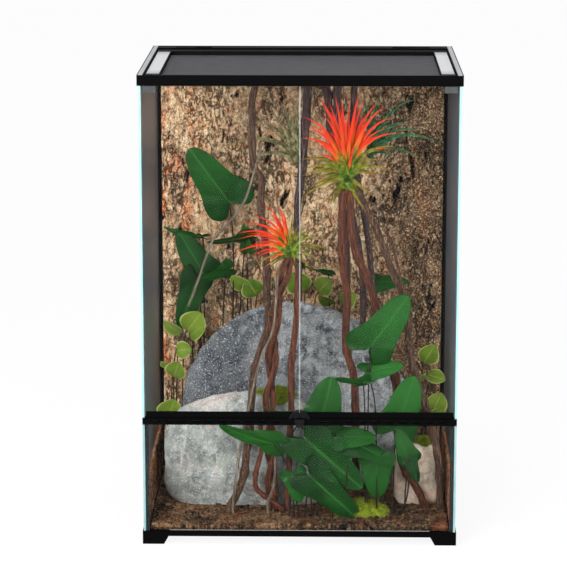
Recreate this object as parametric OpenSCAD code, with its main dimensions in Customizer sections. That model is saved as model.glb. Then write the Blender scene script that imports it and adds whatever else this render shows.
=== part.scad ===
// Front-opening glass terrarium, tall form, with its furnishing.
// +X is right, +Y is back, +Z is up. The origin is the middle of the footprint on the table.

/* [Tank] */
// Overall width over the top frame
tank_w = 606; // [500:1:720]
// Depth over the top frame, without the lock
tank_d = 456; // [400:1:560]
// Overall height
tank_h = 910; // [820:1:1000]
// Thickness of the wall and door panes
glass_t = 4; // [3:0.5:5]
// Thickness of the bottom pane
bottom_t = 5; // [4:0.5:8]
// How far the base frame stands in from the top frame
base_inset = 1; // [0.5:0.1:2]
// Wall of the base frame outside the panes
base_wall = 1.8; // [1.5:0.1:3]

/* [Base] */
// Height of the feet
foot_h = 16; // [12:1:24]
// Width of a foot where it meets the base frame
foot_w = 50; // [40:1:70]
// How much narrower a foot is on the table
foot_slant = 9; // [4:1:15]
// Height of the base frame
base_h = 10; // [8:1:16]
// Width of the ledge that the panes stand on
ledge_w = 22; // [18:1:30]
// Thickness of that ledge
ledge_t = 3; // [2:0.5:4]

/* [Front strip and doors] */
// Underside of the ventilation strip above the table
strip_z = 239; // [200:1:280]
// Height of the ventilation strip
strip_h = 13; // [13:1:18]
// Wall of the ventilation strip
strip_t = 3; // [2.5:0.1:4]
// Depth of the strip behind its front wall
strip_deep = 15; // [15:1:20]
// Slot groups on each side of the lock
slot_groups = 10; // [6:1:10]
// Slots in a group
slots = 6; // [4:1:7]
// Width of a slot
slot_w = 1.2; // [0.8:0.1:1.4]
// Height of a slot
slot_h = 5; // [4:0.5:6]
// Lean of the slots in degrees
slot_lean = 25; // [0:1:30]
// Height of a door's bottom rail
rail_h = 10.5; // [9:0.5:14]
// Thickness of a door's bottom rail
rail_t = 8; // [7.5:0.1:9]
// Gap between the doors, and round them
door_gap = 1; // [0.8:0.1:2]
// Distance from a side pane to the door hinge's axis
hinge_in = 6; // [6:0.5:9]
// Diameter of a hinge pin
pin_d = 4; // [3:0.5:4.5]
// Radial running clearance of pins and spindles
running = 0.1; // [0.05:0.01:0.1]

/* [Lock] */
// Outer radius of the half-ring handles
ring_r = 21; // [19:0.5:24]
// Width of the half ring
ring_w = 5; // [4:0.5:6]
// Radius of the knob
knob_r = 9.5; // [8:0.5:11]
// Radius of the finger tab
tab_r = 7; // [6:0.5:8]
// Distance from the knob's axis to the tab's centre
tab_reach = 6.6; // [6:0.1:7]
// Diameter of the spindle
spindle_d = 5; // [4:0.5:5.5]
// How far the lock stands proud of the frame
lock_proud = 7; // [6:0.5:10]

/* [Top frame and lid] */
// Height of the top frame
top_h = 20; // [18:1:26]
// Width of the side rims
rim_w = 12; // [10:0.5:16]
// Thickness of the front rim
front_rim = 4; // [3:0.5:6]
// Depth of the rear deck
deck_d = 38; // [34:1:50]
// Height of the lid
lid_h = 10; // [9:0.5:12]
// Width of the lid's side rails
lid_side_w = 27; // [22:1:34]
// Width of the lid's front rail
lid_front_w = 16; // [14:1:24]
// Width of the lid's rear rail
lid_rear_w = 28; // [20:1:34]
// Running gap round the lid
lid_gap = 1.5; // [1:0.1:2.5]
// Length of a side plate's bare ends
plate_end = 38; // [30:1:60]
// Width of a cable inlet
inlet_w = 34; // [26:1:40]
// Depth of a cable inlet
inlet_d = 16; // [12:1:18]
// Distance from the tank's side to a cable inlet's middle
inlet_side = 67; // [53:1:123]
// Radius of a lid latch
latch_r = 5; // [4:0.5:7]

/* [Furnishing] */
// Depth of the bark floor
floor_t = 12; // [8:1:30]
// Thinnest part of the bark background
bark_t = 9; // [6:1:12]
// Height of the bark relief
bark_relief = 10; // [4:1:12]
// Half the width of the rear boulder
rear_boulder_w = 243; // [180:1:250]
// Half the width of the front boulder
front_boulder_w = 178; // [120:1:180]
// Radius of the thick lianas
liana_r = 7.5; // [5:0.5:8]
// Radius of the thin twigs
twig_r = 2.6; // [2:0.1:3]
// Thickness of a leaf
leaf_t = 1.2; // [1:0.1:2]

/* [Hidden] */

$fn = 48;
seat = 0.2;                                   // clearance of a fitted edge
clear = 0.5;                                  // clearance of a moving face
front_y = -tank_d / 2 + lock_proud / 2;       // outer face of the frames in front
back_y = tank_d / 2 + lock_proud / 2;
mid_y = lock_proud / 2;
base_w = tank_w - 2 * base_inset;
base_front = front_y + base_inset;
base_back = back_y - base_inset;
pane_x = base_w / 2 - base_wall - seat;       // outer face of the side panes
inner_x = pane_x - glass_t;
pane_back = base_back - base_wall - seat;     // outer face of the back pane
inner_back = pane_back - glass_t;
pane_front = front_y + strip_t;               // front edge of the side panes
ledge_z = foot_h + ledge_t;
floor_z = ledge_z + bottom_t;                 // top of the bottom pane
floor_top = floor_z + floor_t;
strip_top = strip_z + strip_h;
front_pane_y = pane_front + 1;                // front face of the lower pane
front_pane_in = 2.4;                          // how far it stands in the strip's groove
door_z = strip_top + door_gap / 2;
top_z = tank_h - top_h;                       // underside of the top frame
door_top = top_z - door_gap;
door_y = pane_front + rail_t / 2;             // middle plane of the doors
hinge_x = inner_x - hinge_in;
door_half = door_gap / 2;
lid_z = tank_h - 3 - lid_h;                   // seat of the lid
pane_top = lid_z - 2;
lid_x = tank_w / 2 - rim_w - lid_gap;
lid_front = front_y + front_rim + lid_gap;
lid_back = back_y - deck_d - lid_gap;
deck_front = back_y - deck_d;
inlet_y = deck_front + 4 + inlet_d / 2;
inlet_x = tank_w / 2 - inlet_side;
lock_z = strip_top - 3.8;                     // axis of the lock
boss_proud = 1.5;
bead_w = 8;                                   // leg of a silicone bead
header_d = 20;                                // front and rear ledges inside the top frame
shelf_w = 16;                                 // side ledges that carry the lid
latch_x = lid_x - lid_side_w + 7;
latch_in = 12;                                // latch's axis behind the lid's front edge
latch_y = lid_front + latch_in;
latch_t = 2.2;                                // thickness of a latch
latch_z = lid_z + lid_h + seat - 1.3;         // underside of a latch, sunk in the lid
keep_deep = front_rim - 1.1;                  // slot in the front rim that a latch turns into
latch_reach = latch_in + lid_gap + keep_deep - 0.4;
latch_swing = 12;
plate_t = strip_t - 0.6;                      // base plate of a half-ring handle

// The furnishing is laid out in a room of this size, and follows the tank's real one
room = [592, 441, 854];
room_floor = 36;
kx = 2 * inner_x / room.x;
ky = (inner_back - front_pane_y - glass_t) / room.y;
kz = (top_z - floor_top) / room.z;
function place(p) = [p.x * kx, mid_y + p.y * ky, floor_top + (p.z - room_floor) * kz];
function placed(pts) = [for (p = pts) place(p)];
function room_z(z) = room_floor + (z - floor_top) / kz;
function unit(v) = v / norm(v);
function along(pts, i) = unit(pts[min(i + 1, len(pts) - 1)] - pts[max(i - 1, 0)]);
function blend(a, b, t) = a + (b - a) * t;
// A smooth value from -1 to 1 that wanders over the plane
function wander(u, v) = (sin(u * 1.9 + 40 * sin(v * 0.7)) + sin(v * 1.3 + 50 * sin(u * 1.1 + 20))
    + sin(u * 3.7 - v * 2.9)) / 3;

// A point of a smooth curve through a list of points, between points i and i + 1
function curve_point(p, i, t) = let (a = p[max(i - 1, 0)], b = p[i], c = p[i + 1],
    d = p[min(i + 2, len(p) - 1)])
    0.5 * (2 * b + (c - a) * t + (2 * a - 5 * b + 4 * c - d) * t * t
        + (3 * b - a - 3 * c + d) * t * t * t);
function curve(p, steps) = concat([for (i = [0:len(p) - 2], k = [0:steps - 1])
    curve_point(p, i, k / steps)], [p[len(p) - 1]]);

// Faces of a closed tube of n rings with s sides
function tube_faces(n, s) = concat([[for (k = [0:s - 1]) k]],
    [for (i = [0:n - 2], k = [0:s - 1]) let (a = i * s + k, b = i * s + (k + 1) % s)
        each [[a, a + s, b], [b, a + s, b + s]]],
    [[for (k = [s - 1:-1:0]) (n - 1) * s + k]]);

// Round section carried along points, r0 thick at the first and r1 at the last
module sweep(pts, r0, r1, sides = 5) {
    n = len(pts);
    rings = [for (i = [0:n - 1]) let (on_floor = i == 0 && pts[0].z < floor_top + 1,
        t = on_floor ? [0, 0, 1] : along(pts, i), u = unit(cross([0, 1, 0], t)),
        v = cross(t, u), r = blend(r0, r1, i / (n - 1)))
        for (k = [0:sides - 1]) pts[i] + r * (cos(360 * k / sides) * u + sin(360 * k / sides) * v)];
    polyhedron(rings, tube_faces(n, sides));
}

// A short straight stretch of stem
module rod(a, b, r) hull() {
    translate(a) sphere(r * 1.25, $fn = 3);
    translate(b) sphere(r * 1.25, $fn = 3);
}

// A knuckle on a liana
module knot(p, r) hull() {
    translate(p - [0, 0, r * 0.4]) cylinder(h = r * 0.8, r = r * 1.25, $fn = 5);
    translate(p - [0, 0, r]) cylinder(h = 2 * r, r = r * 0.5, $fn = 5);
}

// Everything outside the room inside the panes
module room_only() intersection() {
    translate([-inner_x + 0.4, front_pane_y + glass_t + 0.4, floor_top])
        cube([2 * inner_x - 0.8, inner_back - front_pane_y - glass_t - 0.8,
            top_z - floor_top - 0.4]);
    children();
}

// ---------------------------------------------------------------- base

module base_frame() color("#101012") difference() {
    translate([-base_w / 2, base_front, foot_h]) cube([base_w, base_back - base_front, base_h]);
    translate([-pane_x - seat, base_front + base_wall, ledge_z])
        cube([2 * (pane_x + seat), pane_back + seat - base_front - base_wall, base_h]);
    translate([-base_w / 2 + ledge_w, base_front + ledge_w, foot_h - 1])
        cube([base_w - 2 * ledge_w, base_back - base_front - 2 * ledge_w, base_h]);
}

// A corner cap that narrows towards the table on its two inner sides
module foot(side, y_side) color("#101012") {
    x0 = side * base_w / 2;
    y0 = y_side > 0 ? base_back : base_front;
    low = foot_w - foot_slant;
    difference() {
        intersection() {
            translate([0, y0 - y_side * foot_w / 2 + foot_w / 2, 0]) rotate([90, 0, 0])
                linear_extrude(foot_w) polygon([[x0, 0], [x0, foot_h], [x0 - side * foot_w, foot_h],
                    [x0 - side * low, 0]]);
            translate([x0 - side * foot_w / 2 - foot_w / 2, 0, 0]) rotate([90, 0, 90])
                linear_extrude(foot_w) polygon([[y0, 0], [y0, foot_h],
                    [y0 - y_side * foot_w, foot_h], [y0 - y_side * low, 0]]);
        }
        translate([x0 - side * low / 2 - low / 2 + 3, y0 - y_side * low / 2 - low / 2 + 3, 2.5])
            cube([low - 6, low - 6, foot_h]);
    }
}
module foot_front_left() foot(-1, -1);
module foot_front_right() foot(1, -1);
module foot_rear_left() foot(-1, 1);
module foot_rear_right() foot(1, 1);

// ---------------------------------------------------------------- panes

module bottom_pane() color("#b8dcdc") translate([-inner_x + seat, front_pane_y + glass_t + seat,
    ledge_z]) cube([2 * (inner_x - seat), inner_back - front_pane_y - glass_t - 2 * seat, bottom_t]);

module back_pane() color("#b8dcdc") translate([-pane_x, inner_back, ledge_z])
    cube([2 * pane_x, glass_t, pane_top - ledge_z]);

module side_pane(side) color("#b8dcdc")
    translate([side > 0 ? inner_x : -pane_x, pane_front, ledge_z])
        cube([glass_t, inner_back - seat - pane_front, pane_top - ledge_z]);
module left_pane() side_pane(-1);
module right_pane() side_pane(1);

module front_pane() color("#c8e6e6") translate([-inner_x + seat, front_pane_y, ledge_z])
    cube([2 * (inner_x - seat), glass_t, strip_z + front_pane_in - ledge_z]);

// Silicone laid in an upright inner corner: a right angle with a hollow slope
module bead(x, y, sx, sy, z0, z1, w) translate([x, y, z0]) linear_extrude(z1 - z0) difference() {
    polygon([[0, 0], [sx * w, 0], [sx * w, sy * 1], [sx * 1, sy * w], [0, sy * w]]);
    translate([sx * (w + 1), sy * (w + 1)]) circle(w * 0.92);
}
module corner_beads() color("#0c0c0d") {
    for (s = [-1, 1]) {
        bead(s * inner_x, inner_back - seat, -s, -1, floor_z + seat, pane_top - 20, bead_w);
        bead(s * (inner_x - seat), front_pane_y + glass_t + seat, -s, 1, floor_z + seat,
            strip_z - seat, bead_w - 0.5);
    }
}

// ---------------------------------------------------------------- ventilation strip

module pin_boss() cylinder(h = strip_h, d = pin_d + 6);

module slot_group(side) for (i = [0:slots - 1])
    translate([(i - (slots - 1) / 2) * 2.6, 0, 0]) rotate([0, side * slot_lean, 0])
        cube([slot_w, 4 * strip_t, slot_h], center = true);

slot_first = ring_r + 12;
slot_step = (pane_x - 14 - slot_first) / slot_groups;

module vent_strip() color("#0e0e10") difference() {
    union() {
        // front wall over the side panes' edges
        translate([-pane_x, front_y, strip_z]) cube([2 * pane_x, strip_t, strip_h]);
        // floor and roof of the channel between the side panes
        translate([-inner_x + seat, front_y, strip_z])
            cube([2 * (inner_x - seat), strip_deep, strip_t + 1]);
        translate([-inner_x + seat, front_y, strip_top - strip_t])
            cube([2 * (inner_x - seat), strip_deep, strip_t]);
        // stop that the doors close against
        translate([-inner_x + 12, front_y + strip_t + rail_t + clear, strip_top - 1])
            cube([2 * inner_x - 24, 2, 6]);
        for (s = [-1, 1]) translate([s * hinge_x, door_y, strip_z]) pin_boss();
        // boss of the lock, cut level with the strip's top
        intersection() {
            translate([0, front_y - boss_proud, lock_z]) rotate([-90, 0, 0])
                cylinder(h = strip_deep + boss_proud, r = spindle_d / 2 + 3.2);
            translate([-ring_r, front_y - tank_d / 2, strip_z]) cube([2 * ring_r, tank_d, strip_h]);
        }
    }
    // groove for the lower pane
    translate([-inner_x, front_pane_y - seat, strip_z - 1])
        cube([2 * inner_x, glass_t + 2 * seat, front_pane_in + 1 + seat]);
    for (s = [-1, 1]) {
        translate([s * hinge_x, door_y, strip_z + 5]) cylinder(h = strip_h, d = pin_d + 2 * running);
        for (g = [0:slot_groups - 1])
            translate([s * (slot_first + slot_step * (g + 0.5)), front_y, strip_z + strip_h / 2])
                slot_group(s);
    }
    translate([0, front_y - boss_proud - 1, lock_z]) rotate([-90, 0, 0])
        cylinder(h = strip_deep + boss_proud + 2, d = spindle_d + 2 * running);
}

// Fine screen over the open back of the strip, in two lengths beside the lock's boss
module vent_screen() color("#2a2a2c") for (s = [-1, 1])
    translate([s > 0 ? ring_r : -hinge_x + 8, front_y + strip_deep - 1.4, strip_z + strip_t + 1])
        cube([hinge_x - 8 - ring_r, 0.8, strip_h - 2 * strip_t - 1]);

// ---------------------------------------------------------------- top frame

module inlet_cuts(s) translate([s * inlet_x, inlet_y, 0]) {
    translate([-inlet_w / 2, -inlet_d / 2, top_z - 1]) cube([inlet_w, inlet_d, top_h + 2]);
    // track for the gate, which slides towards the middle
    shift = s > 0 ? -inlet_w - 3 : -3;
    translate([-inlet_w / 2 + shift, -inlet_d / 2 - 3, tank_h - 4])
        cube([2 * inlet_w + 6, inlet_d + 6, 2.2]);
    translate([-inlet_w / 2 + shift, -inlet_d / 2 - 1, tank_h - 2.5])
        cube([2 * inlet_w + 6, inlet_d + 2, 5]);
}

module top_frame() color("#0f0f11") difference() {
    translate([-tank_w / 2, front_y, top_z]) cube([tank_w, tank_d, top_h]);
    // recess for the lid
    translate([-tank_w / 2 + rim_w, front_y + front_rim, lid_z])
        cube([tank_w - 2 * rim_w, tank_d - front_rim - deck_d, top_h]);
    // light opening inside the ledge that carries the lid
    translate([-lid_x + shelf_w, front_y + header_d, top_z - 1])
        cube([2 * (lid_x - shelf_w), deck_front - header_d - front_y - header_d, top_h]);
    // grooves for the panes, sockets for the doors' pins, keeps for the latches
    for (s = [-1, 1]) {
        translate([(s > 0 ? inner_x : -pane_x) - seat, pane_front - seat, top_z - 1])
            cube([glass_t + 2 * seat, inner_back - pane_front + seat, pane_top + 1 + seat - top_z]);
        translate([s * hinge_x, door_y, top_z - 1]) cylinder(h = 6, d = pin_d + 2 * running);
        translate([s * latch_x - (s > 0 ? latch_swing : 3), front_y + front_rim - keep_deep,
            latch_z - 0.3]) cube([latch_swing + 3, keep_deep + 1, latch_t + 0.6]);
        inlet_cuts(s);
    }
    translate([-pane_x - seat, inner_back - seat, top_z - 1])
        cube([2 * (pane_x + seat), glass_t + 2 * seat, pane_top + 1 + seat - top_z]);
    // pockets that lighten the rear deck
    for (i = [-2:1]) translate([i * 78 + 4, deck_front + 2, top_z - 1])
        cube([70, deck_d - 18, top_h - 3]);
}

module gate(s) color("#18181a") translate([s * inlet_x, inlet_y, 0]) {
    translate([-inlet_w / 2 - 2, -inlet_d / 2 - 2.5, tank_h - 3.9])
        cube([inlet_w + 4, inlet_d + 5, 1.3]);
    translate([-inlet_w / 2 - 2, -inlet_d / 2 - 0.5, tank_h - 3.9])
        cube([inlet_w + 4, inlet_d + 1, 3]);
    for (i = [-1:1]) translate([i * 6, 0, tank_h - 1.2]) rotate([90, 0, 0])
        cylinder(h = inlet_d - 4, r = 1.1, center = true);
}
module gate_left() gate(-1);
module gate_right() gate(1);

// ---------------------------------------------------------------- doors

door_w = inner_x - door_gap - door_half;
module door_pane(s) color("#d4ecec") translate([s > 0 ? door_half : -door_half - door_w,
    door_y - glass_t / 2, door_z + 3]) cube([door_w, glass_t, door_top - door_z - 3]);
module left_door_pane() door_pane(-1);
module right_door_pane() door_pane(1);

// Channel along the pane's foot, rounded about the hinge's axis, with the lower pin
module door_rail(s) color("#0e0e10") difference() {
    union() {
        translate([s > 0 ? door_half : -hinge_x, pane_front, door_z])
            cube([hinge_x - door_half, rail_t, rail_h]);
        translate([s * hinge_x, door_y, door_z]) cylinder(h = rail_h, d = rail_t);
        translate([s * hinge_x, door_y, door_z - 4.5]) cylinder(h = 5, d = pin_d);
    }
    translate([-inner_x, door_y - glass_t / 2, door_z + 3]) cube([2 * inner_x, glass_t, rail_h]);
}
module left_door_rail() door_rail(-1);
module right_door_rail() door_rail(1);

// Cap over the pane's upper corner, with the upper pin
module door_cap(s) color("#0e0e10") difference() {
    union() {
        translate([s > 0 ? hinge_x - 22 : -hinge_x, pane_front, door_top - 12])
            cube([22, rail_t, 12.4]);
        translate([s * hinge_x, door_y, door_top - 12]) cylinder(h = 12.4, d = rail_t);
        translate([s * hinge_x, door_y, door_top]) cylinder(h = 5, d = pin_d);
    }
    translate([-inner_x, door_y - glass_t / 2, door_top - 20]) cube([2 * inner_x, glass_t, 20]);
}
module left_door_cap() door_cap(-1);
module right_door_cap() door_cap(1);

// A quarter of the round escutcheon: a base plate on the rail, and the raised ring
module handle(s) color("#141416") intersection() {
    translate([s > 0 ? door_half + 0.2 : -ring_r - 1, front_y - lock_proud - 1, door_z + 0.2])
        cube([ring_r + 1 - door_half - 0.2, 20, ring_r + 8]);
    translate([0, 0, lock_z]) rotate([-90, 0, 0]) union() {
        translate([0, 0, pane_front - plate_t]) cylinder(h = plate_t, r = ring_r);
        translate([0, 0, front_y - lock_proud + 1.5]) rotate_extrude() polygon([
            [ring_r - ring_w, 1], [ring_r - ring_w + 1.2, 0], [ring_r - 1.6, 0], [ring_r, 1.6],
            [ring_r, lock_proud], [ring_r - ring_w, lock_proud]]);
    }
}
module left_handle() handle(-1);
module right_handle() handle(1);

// ---------------------------------------------------------------- lock

knob_y = front_y - lock_proud;
module lock_knob() color("#1a1a1c") translate([0, knob_y, lock_z]) rotate([-90, 0, 0])
    difference() {
        union() {
            cylinder(h = lock_proud - boss_proud - 0.3, r = knob_r - 1);
            translate([0, 0, 1]) cylinder(h = lock_proud - boss_proud - 1.3, r = knob_r);
            translate([0, tab_reach, 0]) cylinder(h = lock_proud - boss_proud - 0.3, r = tab_r);
        }
        // flat that clears the doors while the tab hangs
        translate([-ring_r, lock_z - strip_top - ring_r, -1]) cube([2 * ring_r, ring_r, 2 * lock_proud]);
        // finger hollow in the tab
        translate([0, tab_reach + 2, -7.2]) sphere(8.5);
        translate([0, 0, 2.5]) cylinder(h = lock_proud, d = spindle_d + 2 * seat);
    }

module lock_spindle() color("#8a8a8c") translate([0, knob_y + 2.8, lock_z]) rotate([-90, 0, 0])
    cylinder(h = lock_proud + strip_deep + 1.2, d = spindle_d);

module lock_washer() color("#8a8a8c") translate([0, front_y + strip_deep + 0.4, lock_z])
    rotate([-90, 0, 0]) difference() {
        cylinder(h = 2, r = spindle_d / 2 + 3);
        translate([0, 0, -1]) cylinder(h = 4, d = spindle_d + 0.04);
    }

// ---------------------------------------------------------------- lid

module lid_frame() color("#202022") difference() {
    translate([-lid_x, lid_front, lid_z + seat]) cube([2 * lid_x, lid_back - lid_front, lid_h]);
    translate([-lid_x + lid_side_w, lid_front + lid_front_w, lid_z - 1])
        cube([2 * (lid_x - lid_side_w), lid_back - lid_front - lid_front_w - lid_rear_w, lid_h + 3]);
    // groove that holds the screen
    translate([-lid_x + lid_side_w - 4, lid_front + lid_front_w - 4, lid_z + 1])
        cube([2 * (lid_x - lid_side_w) + 8, lid_back - lid_front - lid_front_w - lid_rear_w + 8,
            1.2]);
    // beds of the side plates
    for (s = [-1, 1]) translate([s > 0 ? lid_x - lid_side_w + 1.5 : -lid_x + 1, lid_front + plate_end,
        lid_z + lid_h + seat - 1.5]) cube([lid_side_w - 2.5, lid_back - lid_front - 2 * plate_end, 3]);
    // sockets of the latches' stems, and the beds that the latches turn in
    for (s = [-1, 1]) {
        translate([s * latch_x, latch_y, latch_z - 4.3]) cylinder(h = 10, d = 4 + 2 * running);
        translate([s * latch_x - (s > 0 ? latch_reach + 1 : latch_r + 1), lid_front - 1,
            latch_z - 0.3]) cube([latch_reach + latch_r + 2, latch_in + 1 + latch_r + 1, lid_h]);
    }
    // groove along the rear rail
    translate([-lid_x + lid_side_w, lid_back - 10, lid_z + lid_h + seat - 1.2])
        cube([2 * (lid_x - lid_side_w), 2.5, 3]);
}

module lid_screen() color("#4a4a4e")
    translate([-lid_x + lid_side_w - 3.6, lid_front + lid_front_w - 3.6, lid_z + 1.2])
        cube([2 * (lid_x - lid_side_w) + 7.2,
            lid_back - lid_front - lid_front_w - lid_rear_w + 7.2, 0.8]);

module lid_plate(s) color("#c9c9cc")
    translate([(s > 0 ? lid_x - lid_side_w + 1.5 : -lid_x + 1) + seat, lid_front + plate_end + seat,
        lid_z + lid_h + seat - 1.5]) cube([lid_side_w - 2.5 - 2 * seat,
            lid_back - lid_front - 2 * plate_end - 2 * seat, 1.2]);
module lid_plate_left() lid_plate(-1);
module lid_plate_right() lid_plate(1);

// Turn latch: a round head with a short tongue, stored clear of the frame
module latch(s) color("#0c0c0d") translate([s * latch_x, latch_y, latch_z]) {
    cylinder(h = latch_t, r = latch_r);
    translate([0, -2, 0]) cube([latch_reach, 4, latch_t]);
    translate([0, 0, -4]) cylinder(h = 5, d = 4);
}
module latch_left() latch(-1);
module latch_right() mirror([1, 0, 0]) latch(-1);

// ---------------------------------------------------------------- bark

// A closed slab whose broad face is a grid of heights: corner p, edges a and b, outward n
module relief(p, a, b, n, na, nb, base, height, seed) {
    row = nb + 1;
    face = [for (i = [0:na], j = [0:nb]) p + a * i / na + b * j / nb
        + n * (base + height * (0.5 + 0.5 * wander(i * 37 + seed, j * 29 - seed)))];
    rim = concat([for (j = [0:nb - 1]) [0, j]], [for (i = [0:na - 1]) [i, nb]],
        [for (j = [nb:-1:1]) [na, j]], [for (i = [na:-1:1]) [i, 0]]);
    rear = [for (e = rim) p + a * e.x / na + b * e.y / nb];
    m = len(face);
    r = len(rim);
    polyhedron(concat(face, rear, [p + (a + b) / 2]), concat(
        [for (i = [0:na - 1], j = [0:nb - 1]) let (k = i * row + j)
            each [[k, k + 1, k + row], [k + 1, k + row + 1, k + row]]],
        [for (i = [0:r - 1]) [m + r, m + (i + 1) % r, m + i]],
        [for (i = [0:r - 1]) let (j = (i + 1) % r, c = rim[i].x * row + rim[i].y,
            d = rim[j].x * row + rim[j].y) each [[c, m + i, d], [d, m + i, m + j]]]));
}

module bark_background() color("#b08a68")
    relief([-inner_x + bead_w + 0.6, inner_back - 0.3, floor_top],
        [2 * (inner_x - bead_w - 0.6), 0, 0], [0, 0, top_z - floor_top - 6], [0, -1, 0], 13, 20,
        bark_t, bark_relief, 11);

module bark_floor() color("#6b4a30") translate([-inner_x + 9, front_pane_y + glass_t + 9, floor_z])
    cube([2 * inner_x - 18, inner_back - front_pane_y - glass_t - 18, floor_t]);

module bark_strip(s) color("#7a5230")
    relief([s * (inner_x - 0.4), mid_y + (s > 0 ? 180 : -205) * ky, floor_top],
        [0, -s * 385 * ky, 0], [0, 0, 92 * kz], [-s, 0, 0], 9, 3, 3, 5, 50 + 30 * s);
module bark_strip_left() bark_strip(-1);
module bark_strip_right() bark_strip(1);

// ---------------------------------------------------------------- stones

// Rounded stone: a lumpy ball of half sizes h about c, cut flat on the floor
module stone(c, h, seed, n, m, power, grow = 0) {
    v0 = -62;
    rings = [for (i = [0:m - 1], j = [0:n - 1]) let (
        v = v0 + (86 - v0) * i / m, u = 360 * j / n, cu = cos(u), su = sin(u), cv = cos(v),
        sv = sin(v),
        k = pow(pow(abs(cv * cu), power) + pow(abs(cv * su), power) + pow(abs(sv), power),
            -1 / power),
        r = k * (1 - 0.03 * (1 - wander(120 * cu + seed, 120 * su + v * 1.7 + seed))))
        [c.x + (h.x * r + grow) * cv * cu, c.y + (h.y * r + grow) * cv * su,
            max(c.z + (h.z * r + grow) * sv, floor_top)]];
    top = len(rings);
    polyhedron(concat(rings, [[c.x, c.y, c.z + h.z * 0.97 + grow]]), concat(
        [[for (j = [0:n - 1]) j]],
        [for (i = [0:m - 2], j = [0:n - 1]) let (a = i * n + j, b = i * n + (j + 1) % n)
            each [[a, a + n, b], [b, a + n, b + n]]],
        [for (j = [0:n - 1]) [(m - 1) * n + j, top, (m - 1) * n + (j + 1) % n]]));
}

module rear_stone(grow = 0) stone(place([-12, 80, 150]), [rear_boulder_w * kx, 60 * ky, 268 * kz],
    7, 20, 10, 2.1, grow);
module front_stone(grow = 0) stone(place([-103, -50, 116]),
    [front_boulder_w * kx, 50 * ky, 146 * kz], 31, 20, 10, 2.4, grow);
module slab_stone(grow = 0) stone(place([231, -54, 92]), [50 * kx, 34 * ky, 66 * kz], 77, 12, 7, 4,
    grow);
module rear_boulder() color("#8b8f96") rear_stone();
module front_boulder() color("#a9adab") front_stone();
module sandstone_slab() color("#c9ae90") slab_stone();
module stones(grow) {
    rear_stone(grow);
    front_stone(grow);
    slab_stone(grow);
}

// Low cushion of moss made of rounded lumps
module moss_pad(c, w, d, h, count) for (i = [0:count - 1]) {
    a = i * 137.5;
    s = sqrt(i / count);
    translate(place(c) + [w * s * cos(a), d * s * sin(a), 0]) hull() {
        translate([0, 0, h * (0.9 - 0.4 * s)]) cylinder(h = 1, r = h * 0.4, $fn = 6);
        translate([0, 0, -h * 0.3]) cylinder(h = h * 0.6, r = h * 0.9, $fn = 6);
    }
}
module moss_cushions() color("#9aa81e") difference() {
    room_only() union() {
        moss_pad([118, -142, 42], 42, 12, 28, 5);
        moss_pad([-45, -50, 248], 34, 12, 24, 4);
        moss_pad([244, -50, 152], 20, 10, 18, 3);
    }
    stones(0.4);
    sweep(curve(trunk_two, 2), liana_r + 0.5, liana_r + 0.5);
}

// ---------------------------------------------------------------- lianas

left_route = placed([[-140, -138, 36], [-138, -138, 46], [-124, -132, 72], [-110, -128, 111],
    [-102, -124, 172], [-95, -120, 257], [-92, -112, 302], [-76, -100, 362], [-63, -85, 400],
    [-66, -70, 476], [-68, -60, 552], [-77, -58, 621], [-77, -58, 684], [-92, -58, 719],
    [-94, -58, 828], [-86, -58, 878]]);
twist_route = placed([[-52, -120, 36], [-53, -120, 46], [-56, -120, 90], [-58, -120, 180],
    [-60, -116, 258], [-56, -110, 310], [-54, -106, 360], [-45, -104, 450], [-30, -104, 508],
    [-22, -104, 540]]);
loop_route = placed([[-36, -138, 36], [-38, -138, 46], [-58, -138, 62], [-84, -138, 84],
    [-87, -138, 110], [-80, -138, 140], [-74, -134, 172], [-78, -122, 215]]);
straight_route = placed([[-24, -124, 36], [-24, -124, 46], [-22, -124, 110], [-20, -122, 180],
    [-17, -118, 251], [-17, -112, 330], [-8, -104, 414], [-6, -96, 470], [-4, -94, 530]]);
trunk_one = placed([[246, -104, 36], [244, -104, 46], [226, -104, 85], [202, -104, 125],
    [190, -100, 200], [186, -84, 294], [170, -70, 330], [156, -64, 390], [146, -62, 440],
    [130, -60, 491], [108, -60, 540], [98, -60, 590], [96, -60, 640], [94, -60, 664]]);
trunk_two = placed([[112, -118, 36], [112, -118, 46], [110, -116, 110], [108, -112, 238],
    [104, -100, 305], [92, -84, 345], [88, -70, 400], [92, -62, 450], [84, -58, 500],
    [80, -58, 550], [80, -58, 600], [82, -58, 640], [86, -60, 664]]);
right_route = placed([[276, -104, 36], [276, -104, 46], [274, -104, 115], [262, -102, 180],
    [252, -98, 225], [238, -92, 264], [222, -82, 312], [211, -76, 380], [208, -72, 427],
    [198, -70, 463], [176, -68, 511], [158, -66, 561], [136, -64, 612], [110, -62, 664]]);
right_twin = placed([[205, -82, 430], [198, -78, 480], [188, -76, 520], [176, -74, 566],
    [160, -72, 590]]);

// Two strands wound about a route, straight for the first and last steps
module wound_pair(pts, r, pitch, grow) for (s = [0, 180]) sweep([for (i = [0:len(pts) - 1])
    let (j = min(max(i, 1), len(pts) - 2), a = s + 360 * room_z(pts[j].z) / pitch)
        pts[i] + (r + 0.5) * [cos(a), sin(a), 0]], r + grow, r * 0.9 + grow);
module strands(grow = 0) wound_pair(curve(twist_route, 3), liana_r * 0.86, 170, grow);

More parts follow.
